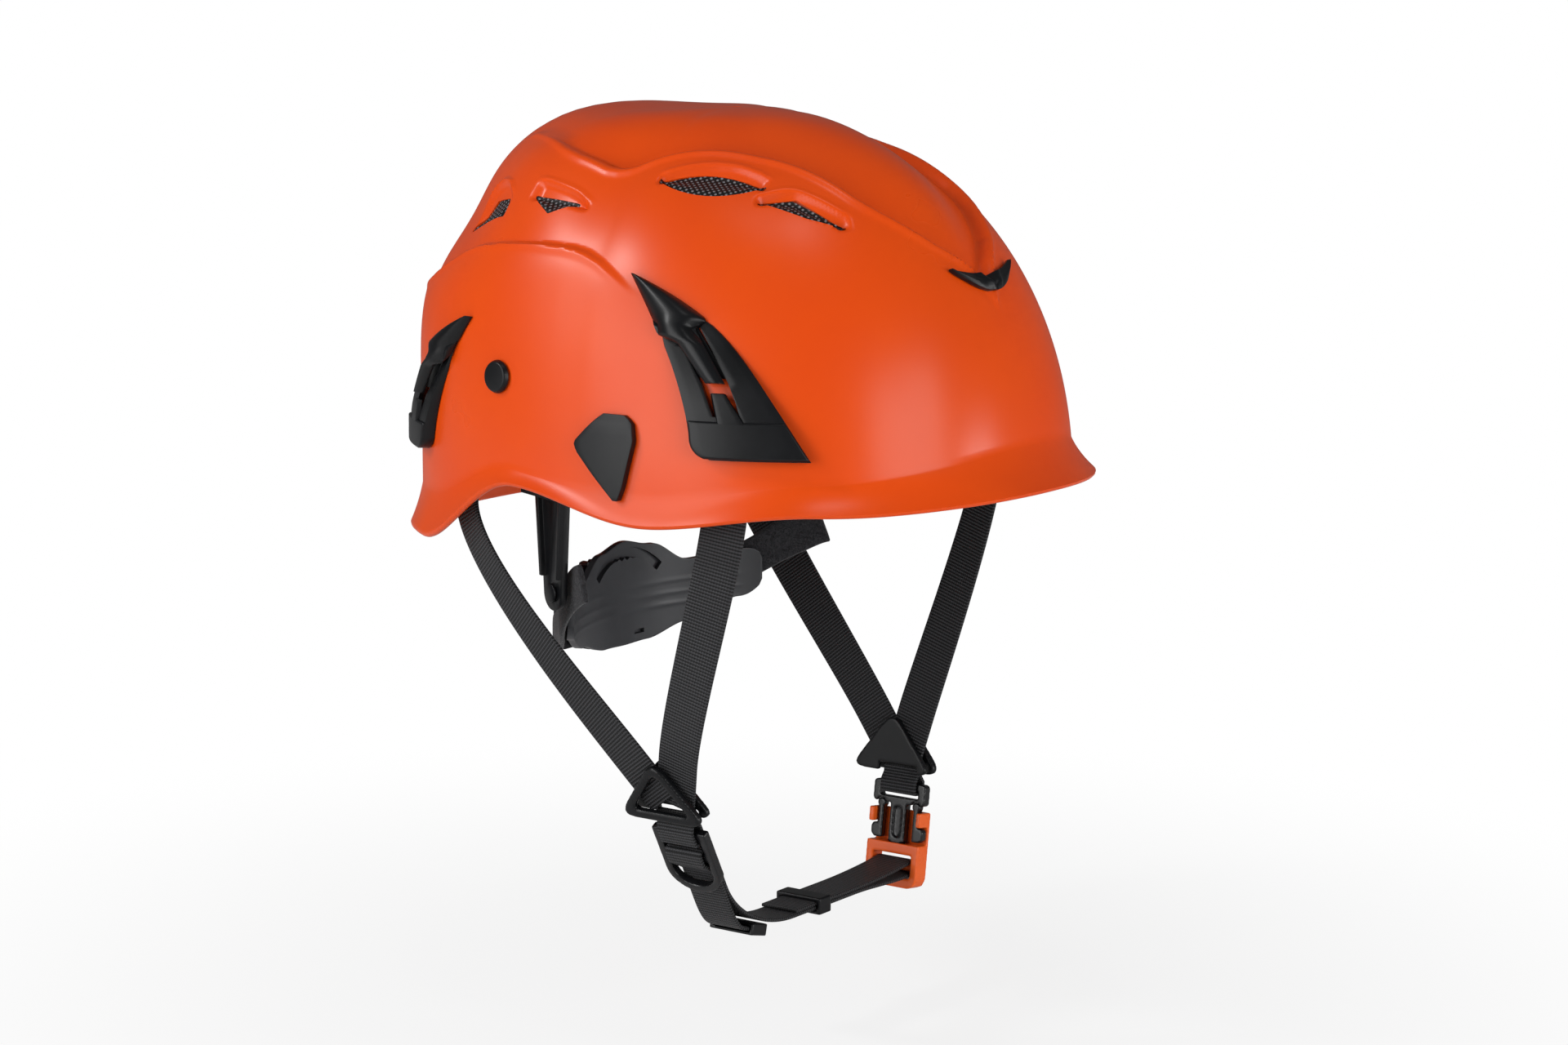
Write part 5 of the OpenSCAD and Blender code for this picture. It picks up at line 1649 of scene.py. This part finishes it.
@dataclass
class Nape:
    """Rear headband: cradle, side bands, height arms and the size adjuster."""

    half_width: float = 80.0
    reach: float = 62.0
    middle: float = -2.0
    height: float = -50.0
    hub: float = -59.0
    band_rise: float = 19.0
    thickness: float = 2.6
    top_line: Table = ((0, 18), (12, 15), (26, 6.5), (44, 9), (52, 9))
    low_line: Table = ((0, 24.5), (10, 24), (26, 19), (44, 11), (52, 8.5))
    rib_levels: tuple[float, ...] = (-1.5, -6.5, -11.0)
    rib_height: float = 0.16
    arch_angles: Flat = (46.0, 134.0)
    arch_radii: Flat = (27.4, 31.5)
    arch_faces: int = 24
    floor: float = 0.5

    def oval(self, q: float, off: float) -> Vector:
        """Point of the nape oval at angle q from the rear, moved out by off."""
        n = Vector((self.reach * sin_d(q), self.half_width * cos_d(q))).normalized()
        return Vector((self.half_width * sin_d(q) + off * n.x, self.middle + self.reach * cos_d(q) + off * n.y, 0))

    def build(self) -> None:
        """Makes the rear headband's pieces."""
        self.cradle()
        for side in Side:
            self.side_band(side)
            for node, name, width, body in (("arm_anchor", "arm_guide", 0.3, Body.HELMET),
                                            ("height_arm", "height_strip", 0.4, Body.NAPE),
                                            ("arm_pin", "hinge_pin", 0.3, Body.NAPE)):
                obj = Bench.refined(f"{node}_{side.value}", f"{name}_{side.value}", width)
                Bench.hand_over(obj, BLACK_NYLON, body, [f"{node}_{side.value}"])
        housing = Bench.moulded("nape_housing", "gear_housing", 0.5, 14)
        Bench.hand_over(housing, BLACK_NYLON, Body.NAPE, ["nape_housing"], 60)
        for node, name, width, body in (("dial", "size_wheel", 0.4, Body.DIAL),
                                        ("dial_gear", "pinion", 0.12, Body.DIAL),
                                        ("rack_left", "rack_upper", 0.15, Body.LEFT_RACK),
                                        ("rack_right", "rack_lower", 0.15, Body.RIGHT_RACK)):
            Bench.hand_over(Bench.refined(node, name, width), BLACK_NYLON, body, [node])

    def cradle(self) -> None:
        """Makes the nape cradle with its arch slot, ribs and notch."""

        def place(u: float, v: float, w: float) -> Vector:
            """Curved plate, with rounded ends and shallow ribs on its inner face."""
            q = lerp(-52, 52, u)
            end = 4.5 * (1 - math.sqrt(max(0.0, 1 - max(0.0, (abs(q) - 46.5) / 5.5) ** 2)))
            low, top = eased(self.low_line, abs(q)), eased(self.top_line, abs(q))
            z = lerp(self.height - low + end, self.height + top - end, v)
            ribs = sum(bell(z - self.height - level, 0.7) for level in self.rib_levels)
            rib = self.rib_height * ribs * ease((46 - abs(q)) / 4)
            p = self.oval(q, lerp(-self.thickness / 2 - rib, self.thickness / 2, w))
            return Vector((p.x, p.y, z))

        obj = Bench.block("cradle_plate", 44, 104, place)
        Bench.round_edges(obj, 0.6, 2, 50)
        Bench.cut(obj, [self.groove("arch_cutter", self.arch_faces, self.arch),
                        self.groove("notch_cutter", 4, self.notch)])
        # The cradle's greyer nylon is painted light, standing in for the light that the shade under the shell takes
        # away
        Bench.hand_over(obj, CRADLE_NYLON_PAINTED_LIGHT, Body.NAPE, ["nape_cradle"], 40)

    def arch(self, u: float, v: float) -> Flat:
        """Arch slot over the size wheel, with small teeth under its middle.

        Args:
            u: Share along the slot.
            v: Share across it.

        Returns:
            Its x and z.
        """
        a = lerp(*self.arch_angles, u)
        tooth = 1.2 * (1 - v) * ease((13 - abs(a - 90)) / 5) * (round(u * self.arch_faces) % 2)
        r = lerp(*self.arch_radii, v) - tooth
        return (r * cos_d(a), self.height - 16 + r * sin_d(a))

    def notch(self, u: float, v: float) -> Flat:
        """Small notch near the lower edge."""
        return (lerp(6.1, 11.9, u), self.height - 20.9 + 1.8 * v)

    def groove(self, name: str, count: int, shape: Callable[[float, float], Flat]) -> Obj:
        """Makes the cutter for a groove in the cradle's inner face.

        Args:
            name: Name of the cutter.
            count: Faces along it.
            shape: Gives x and z for u along the groove and v across it.

        Returns:
            The cutter.
        """

        def place(u: float, v: float, w: float) -> Vector:
            """Point of the cutter, following the plate."""
            x, z = shape(u, v)
            q = math.degrees(math.asin(x / self.half_width))
            p = self.oval(q, lerp(-4, self.thickness / 2 - self.floor, w))
            return Vector((p.x, p.y, z))

        return Bench.block(name, 1, count, place)

    def side_band(self, side: Side) -> None:
        """Makes a felt-lined side band that runs between the cradle and its rack.

        Args:
            side: The side it is on.
        """

        def place(u: float, v: float, w: float) -> Vector:
            """Strip along the oval, softly crowned."""
            q = lerp(23, 76 - 4.5 * v, u)
            off = lerp(10.4, 3.2, ease((q - 23) / 21))
            z = lerp(self.hub + 3.6 * side.sign, self.height + self.band_rise, ease((q - 26) / 54))
            half = lerp(7.4, 8.8, ease((q - 28) / 14)) - 1.2 * ease((q - 66) / 10)
            across = 2 * v - 1
            crown = 1.3 * (1 - 0.35 * abs(across) ** 4)
            p = self.oval(q, off + (2 * w - 1) * crown)
            return side.put(Vector((p.x, p.y, z + half * across)))

        obj = Bench.block(f"felt_band_{side.value}", 8, 64, place)
        Bench.round_edges(obj, 0.8, 3, 50)
        Bench.hand_over(obj, FELT, None, [f"side_band_{side.value}"], 50)
        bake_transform(obj)


@dataclass(frozen=True)
class Hanger:
    """One side of the harness, in x and z: its divider, the fitting below it, and that fitting's upper bar."""

    divider: Flat
    lean: float
    fitting: Flat
    fitting_lean: float
    bar_half: float
    bar_z: float


HANGERS = {Side.LEFT: Hanger((79.0, -119.0), 3.0, (78.0112, -137.5346), 8.0, 2.0, -0.2),
           Side.RIGHT: Hanger((-79.0, -107.0), -18.0, (-72.32, -125.10), -28.0, 1.8, -1.6)}


@dataclass
class Harness:
    """Straps, dividers, adjuster, keeper and buckle."""

    width: float = 17.0
    thickness: float = 1.4
    play: float = 0.3
    depth_y: float = -24.0
    divider_shift: float = 3.5
    divider_bar: Flat = (-11.25, -8.65)
    sewn_off: float = -7.2
    strap_steps: int = 48
    strap_ends: tuple[float, ...] = (5, 10, 15, 19.5)
    chin_z: float = -170.0
    middle_bar: float = -7.4
    lock_foot: float = -28.6
    socket_bar: Flat = (0.0, -31.5)
    socket_bar_radius: float = 1.7
    tail_end: float = -34.0
    tail_slope: float = 14.0

    def build(self) -> None:
        """Makes the harness's pieces."""
        for side in Side:
            self.strap(side, "front")
            self.strap(side, "rear")
            self.loop(side)
            for part, name, swell in (("divider_ring", "strap_ring", 0.5), ("divider_plate", "strap_plate", 0.0)):
                obj = Bench.moulded(f"{part}_{side.value}", f"{name}_{side.value}", 0.4, 10, swell)
                Bench.hand_over(obj, BLACK_NYLON, Body.HELMET, [f"{part}_{side.value}"], 60)
        self.chin()
        for node, name in (("strap_anchors", "fastening_plates"), ("strap_rivets", "fastening_rivets")):
            Bench.hand_over(Bench.refined(node, name, 0.4, 3), BLACK_NYLON, Body.HELMET, [node])
        for node, name, passes, body, finish in (
                ("strap_adjuster", "ladder_lock", 14, Body.HELMET, BLACK_ACETAL),
                ("strap_keeper", "sliding_keeper", 10, Body.KEEPER, BLACK_NYLON),
                ("end_stop", "webbing_stop", 10, Body.HELMET, BLACK_NYLON),
                ("buckle_male", "buckle_tongue", 6, Body.HELMET, BLACK_ACETAL),
                ("latch_front", "spring_front", 6, Body.FRONT_LATCH, BLACK_ACETAL),
                ("latch_rear", "spring_rear", 6, Body.REAR_LATCH, BLACK_ACETAL),
                ("buckle_female", "buckle_frame", 10, Body.FEMALE, BUCKLE_ORANGE)):
            Bench.hand_over(Bench.moulded(node, name, 0.4, passes), finish, body, [node], 60)

    @property
    def wrap(self) -> float:
        """Distance from a bar's face to the middle of the webbing round it."""
        return self.thickness / 2 + self.play

    def along(self, side: Side, d: Sequence[float]) -> Vector:
        """Direction in the frame of a divider, which leans with its top outward.

        Args:
            side: The side it is on.
            d: The direction in the frame.

        Returns:
            The direction.
        """
        lean = abs(HANGERS[side].lean)
        c, s = cos_d(lean), sin_d(lean)
        return Vector((d[0] * c + d[2] * s, d[1], d[2] * c - d[0] * s))

    def inside(self, side: Side, p: Sequence[float]) -> Vector:
        """Point of a divider's frame.

        Args:
            side: The side it is on.
            p: The point in the frame.

        Returns:
            The point.
        """
        x, z = HANGERS[side].divider
        return Vector((abs(x), self.depth_y + self.divider_shift, z)) + self.along(side, p)

    def ribbon(self, name: str, path: Sequence[tuple[Vector, Vector, Vector]], side: Side) -> Obj:
        """Makes a strap along a path.

        Args:
            name: Name of the object.
            path: Points with the direction of travel and the direction across.
            side: The side it is on.

        Returns:
            The strap, with its length along the UV map's second axis.
        """
        lengths = [(0.0, 0.0)]
        for i, (a, b) in enumerate(zip(path, path[1:])):
            lengths.append(((i + 1) / (len(path) - 1), lengths[-1][1] + (b[0] - a[0]).length))

        def place(u: float, v: float, w: float) -> Vector:
            """Point of the strap."""
            p, way, raw = path[round(v * (len(path) - 1))]
            across = (raw - way * raw.dot(way)).normalized()
            up = across.cross(way)
            return side.put(p + across * (u - 0.5) * self.width + up * (w - 0.5) * self.thickness)

        obj = Bench.block(name, len(path) - 1, 6, place, self.width, lengths)
        Bench.round_edges(obj, 0.45, 2, 60)
        return obj

    def strap(self, side: Side, place: str) -> None:
        """Makes a strap from its fastening down into the divider.

        Args:
            side: The side it is on.
            place: Front or rear.
        """
        t = 58.0 if place == "front" else 127.0
        frame = DOME.axes(t, DOME.crease(t) + 6.5)
        head, foot = (frame @ Vector((0, y, self.sewn_off)) for y in (5, -8))
        raw0 = frame.to_3x3() @ Vector((1, 0, 0))
        start = (foot - head).normalized()
        if place == "front":
            d0, p1 = start * 60, self.inside(side, (-0.8, -9, 12))
            d1, raw1 = self.along(side, (0, 22, -76)), self.along(side, (0, 0.96, 0.28))
        else:
            d0, p1 = start * 60 + Vector((18, 12, 0)), self.inside(side, (0.8, 11.5, 11))
            d1, raw1 = self.along(side, (0, -64, -89)), self.along(side, (0, 0.81, -0.58))
        path = [(head, start, raw0), (head.lerp(foot, 0.5), start, raw0)]
        for i in range(self.strap_steps + 1):
            s = i / self.strap_steps
            p = ((2 * s**3 - 3 * s**2 + 1) * foot + (s**3 - 2 * s**2 + s) * d0 + (3 * s**2 - 2 * s**3) * p1
                 + (s**3 - s**2) * d1)
            way = ((6 * s**2 - 6 * s) * foot + (3 * s**2 - 4 * s + 1) * d0 + (6 * s - 6 * s**2) * p1
                   + (3 * s**2 - 2 * s) * d1).normalized()
            path.append((p, start if i == 0 else way, raw0.lerp(raw1, ease(s))))
        end = d1.normalized()
        path += [(p1 + end * run, end, raw1) for run in self.strap_ends]
        obj = self.ribbon(f"webbing_{place}_{side.value}", path, side)
        Bench.hand_over(obj, WEBBING, Body.HELMET, [f"{place}_strap_{side.value}"], 50)

    @staticmethod
    def turned(o: Flat, lean: float, p: Flat) -> Flat:
        """Point of a leaning frame in the harness plane."""
        return (o[0] + p[0] * cos_d(lean) + p[1] * sin_d(lean), o[1] + p[1] * cos_d(lean) - p[0] * sin_d(lean))

    @staticmethod
    def arc(c: Flat, r: float, a0: float, a1: float, n: int) -> list[Flat]:
        """Points on an arc.

        Args:
            c: Centre.
            r: Radius.
            a0: First angle.
            a1: Last angle.
            n: Steps.

        Returns:
            The points.
        """
        angles = [lerp(a0, a1, i / n) for i in range(n + 1)]
        return [(c[0] + r * cos_d(a), c[1] + r * sin_d(a)) for a in angles]

    @staticmethod
    def curve(a: Flat, b: Flat, c: Flat, d: Flat, n: int) -> list[Flat]:
        """Points on a cubic curve.

        Args:
            a: Start.
            b: First handle.
            c: Second handle.
            d: End.
            n: Steps.

        Returns:
            The points.
        """
        out = []
        for i in range(n + 1):
            s = i / n
            k = ((1 - s) ** 3, 3 * s * (1 - s) ** 2, 3 * s * s * (1 - s), s**3)
            out.append(tuple(sum(w * p[j] for w, p in zip(k, (a, b, c, d))) for j in (0, 1)))
        return out

    def flat_ribbon(self, name: str, points: Sequence[Flat]) -> Obj:
        """Makes webbing that runs in the harness plane.

        Args:
            name: Name of the object.
            points: Its centre line, as x and z.

        Returns:
            The webbing.
        """
        thin = [points[0]]
        for p in points[1:]:
            if math.dist(p, thin[-1]) > 0.05:
                thin.append(p)
        path = []
        for i, (x, z) in enumerate(thin):
            before, after = thin[max(0, i - 1)], thin[min(len(thin) - 1, i + 1)]
            way = Vector((after[0] - before[0], 0, after[1] - before[1])).normalized()
            path.append((Vector((x, self.depth_y, z)), way, Vector((0, 1, 0))))
        return self.ribbon(name, path, Side.LEFT)

    def bar_turn(self, half: float, z: float, way: int) -> list[Flat]:
        """Webbing round a flat bar: under it from right to left for way 1, over it from left to right for -1.

        Args:
            half: Half the bar's thickness.
            z: Height of the turn.
            way: 1 or -1.

        Returns:
            The points.
        """
        first = 0 if way > 0 else 180
        return (self.arc((half * way, z), self.wrap, first, first - 90, 5)
                + self.arc((-half * way, z), self.wrap, first - 90, first - 180, 5))

    def loop(self, side: Side) -> None:
        """Makes the loop that hangs from a divider.

        Args:
            side: The side it is on.
        """
        (low, top), layer, hanger = self.divider_bar, self.thickness / 2 + 0.1, HANGERS[side]
        out = hanger.bar_half + self.wrap
        mid = [(out, 3.7)] + self.bar_turn(hanger.bar_half, hanger.bar_z, 1) + [(-out, 3.7)]
        ends = [self.turned(hanger.divider, hanger.lean, (x, z))
                for x, z in ((layer, top), (layer, low - 0.8), (-layer, low - 0.8), (-layer, top))]
        points = ends[:2] + [self.turned(hanger.fitting, hanger.fitting_lean, p) for p in mid] + ends[2:]
        obj = self.flat_ribbon(f"hanging_loop_{side.value}", points)
        Bench.hand_over(obj, WEBBING, Body.HELMET, [f"divider_loop_{side.value}"], 50)

    def chin(self) -> None:
        """Makes the chin strap, from its end stop through the adjuster and round the buckle's bar."""
        lock, buckle, chin_z = HANGERS[Side.RIGHT], HANGERS[Side.LEFT], self.chin_z
        adj, adj_lean = lock.fitting, lock.fitting_lean
        tail_x = lock.bar_half + self.wrap
        main_x, upper_z = tail_x + self.thickness + 0.2, chin_z + self.thickness + 0.25
        bar_at = self.turned(buckle.fitting, buckle.fitting_lean, self.socket_bar)
        bar_r = self.socket_bar_radius + self.wrap
        main, tail = (self.turned(adj, adj_lean, (x, self.lock_foot)) for x in (main_x, tail_x))
        fall = (sin_d(-adj_lean), -cos_d(-adj_lean))
        way = (-cos_d(self.tail_slope), sin_d(self.tail_slope))

        def off(p: Flat, d: Flat, k: float) -> Flat:
            """Point moved along a direction."""
            return (p[0] + d[0] * k, p[1] + d[1] * k)

        end = (self.tail_end, chin_z + 0.4)
        bend = off(end, way, 9)
        over = self.bar_turn(lock.bar_half, self.middle_bar, -1)
        through = [(tail_x, -19.6), (-tail_x, -12.2)] + over + [(tail_x, -12.2), (main_x, -19.0)]
        low_bar = off(bar_at, (cos_d(-96), sin_d(-96)), bar_r)
        high_bar = off(bar_at, (cos_d(100), sin_d(100)), bar_r)
        points = [end] + self.curve(bend, off(bend, way, 6), off(tail, fall, 7), tail, 16)
        points += [self.turned(adj, adj_lean, p) for p in through]
        points += self.curve(main, off(main, fall, 14), (-30, chin_z), (-10, chin_z), 24)
        points += [(-10 + 3 * i, chin_z) for i in range(1, 14)]
        points += self.curve((32, chin_z), (46, chin_z), (low_bar[0] - 14, low_bar[1] - 0.6), low_bar, 12)
        points += self.arc(bar_at, bar_r, -96, 100, 14)
        points += self.curve(high_bar, (high_bar[0] - 14, high_bar[1] - 1.6), (44, upper_z), (30, upper_z), 12)
        points += [(30 - 3 * i, upper_z) for i in range(1, 14)]
        obj = self.flat_ribbon("chin_webbing", points)
        Bench.hand_over(obj, WEBBING, None, ["chin_strap"], 50)
        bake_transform(obj)


@dataclass
class Studio:
    """Pale floor, soft light and the photo's viewpoint."""

    floor_z: float = -0.215
    floor_white: float = 0.82
    surround: float = 0.13
    camera_at: tuple[float, float, float] = (-1.1976, -0.8701, 0.2424)
    lens: float = 88.0
    shift: Flat = (0.02625, -0.02917)

    def build(self) -> None:
        """Sets up floor, world, lights and camera."""
        self.floor()
        self.world()
        for name, at, size, power in (("key_softbox", (-1.9, 0.5, 0.45), 1.4, 20.0),
                                      ("fill_softbox", (-0.45, -2.0, 0.3), 1.3, 19.5),
                                      ("top_strip", (-0.5, -0.36, 2.1), 0.22, 2.0),
                                      ("chin_card", (0.55, -1.3, -0.1), 0.4, 4.5),
                                      ("rear_strip", (-1.3, 1.0, 1.3), 0.25, 10.0)):
            self.light(name, at, size, power)
        self.camera()

    def floor(self) -> None:
        """Lays the floor: white far off, plain and pale under the object."""
        Bench.fresh()
        bpy.ops.mesh.primitive_plane_add(size=60, location=(0, 0, self.floor_z))
        obj = bpy.context.object
        obj.name = "studio_floor"
        material = bpy.data.materials.new("studio_paper")
        material.use_nodes = True
        tree = material.node_tree
        shader = tree.nodes["Principled BSDF"]
        shader.inputs["Base Color"].default_value = (0.93, 0.93, 0.93, 1)
        shader.inputs["Roughness"].default_value = 0.9
        shader.inputs["Specular IOR Level"].default_value = 0.1
        where = add_node(tree, "ShaderNodeTexCoord")
        far = add_node(tree, "ShaderNodeVectorMath", {0: where.outputs["Object"]}, operation="LENGTH")
        share = add_node(tree, "ShaderNodeMapRange",
                         {"Value": far.outputs["Value"], "From Min": 0.1, "From Max": 0.5,
                          "To Min": self.floor_white}, interpolation_type="SMOOTHSTEP")
        ray = add_node(tree, "ShaderNodeLightPath")
        seen = add_node(tree, "ShaderNodeMath", {0: share.outputs["Result"], 1: ray.outputs["Is Camera Ray"]},
                        operation="MULTIPLY")
        white = add_node(tree, "ShaderNodeEmission", {"Color": (1, 1, 1, 1), "Strength": 1.0})
        mix = add_node(tree, "ShaderNodeMixShader", {0: seen.outputs[0], 1: shader.outputs[0], 2: white.outputs[0]})
        tree.links.new(mix.outputs[0], tree.nodes["Material Output"].inputs["Surface"])
        obj.data.materials.append(material)

    def world(self) -> None:
        """Sets an even white surround."""
        world = bpy.data.worlds.new("studio_surround")
        bpy.context.scene.world = world
        world.use_nodes = True
        back = world.node_tree.nodes["Background"]
        back.inputs["Color"].default_value = (1, 1, 1, 1)
        ray = add_node(world.node_tree, "ShaderNodeLightPath")
        level = add_node(world.node_tree, "ShaderNodeMapRange",
                         {"Value": ray.outputs["Is Camera Ray"], "To Min": self.surround, "To Max": 1.0})
        world.node_tree.links.new(level.outputs["Result"], back.inputs["Strength"])

    def light(self, name: str, at: tuple[float, float, float], size: float, power: float) -> None:
        """Adds a softbox aimed at the helmet.

        Args:
            name: Name of the light.
            at: Where it stands.
            size: Edge of its square face.
            power: Its power in watts.
        """
        Bench.fresh()
        bpy.ops.object.light_add(type="AREA", location=at)
        obj = bpy.context.object
        obj.name = name
        obj.data.shape = "SQUARE"
        obj.data.size = size
        obj.data.energy = power
        obj.rotation_euler = (Vector((0, 0, 0.02)) - Vector(at)).to_track_quat("-Z", "Y").to_euler()

    def camera(self) -> None:
        """Places the camera where the photo was taken from."""
        Bench.fresh()
        bpy.ops.object.camera_add(location=self.camera_at)
        obj = bpy.context.object
        obj.name = "photo_camera"
        obj.rotation_euler = (-Vector(self.camera_at)).to_track_quat("-Z", "Y").to_euler()
        obj.data.sensor_width = 36
        obj.data.lens = self.lens
        obj.data.shift_x, obj.data.shift_y = self.shift
        obj.data.clip_end = 100
        bpy.context.scene.camera = obj
        bpy.context.scene.view_settings.view_transform = "Standard"


FRAME: dict[str, dict] = {}


def main() -> None:
    """Builds the helmet's looks over the constructed frame."""
    logging.basicConfig(level=logging.INFO, format="%(message)s")
    FRAME.update(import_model())
    for group in (Studio(), Shell(), Liner(), VentMesh(), ShellTrim(), Pads(), Nape(), Harness()):
        group.build()
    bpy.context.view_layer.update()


if __name__ == "__main__":
    main()
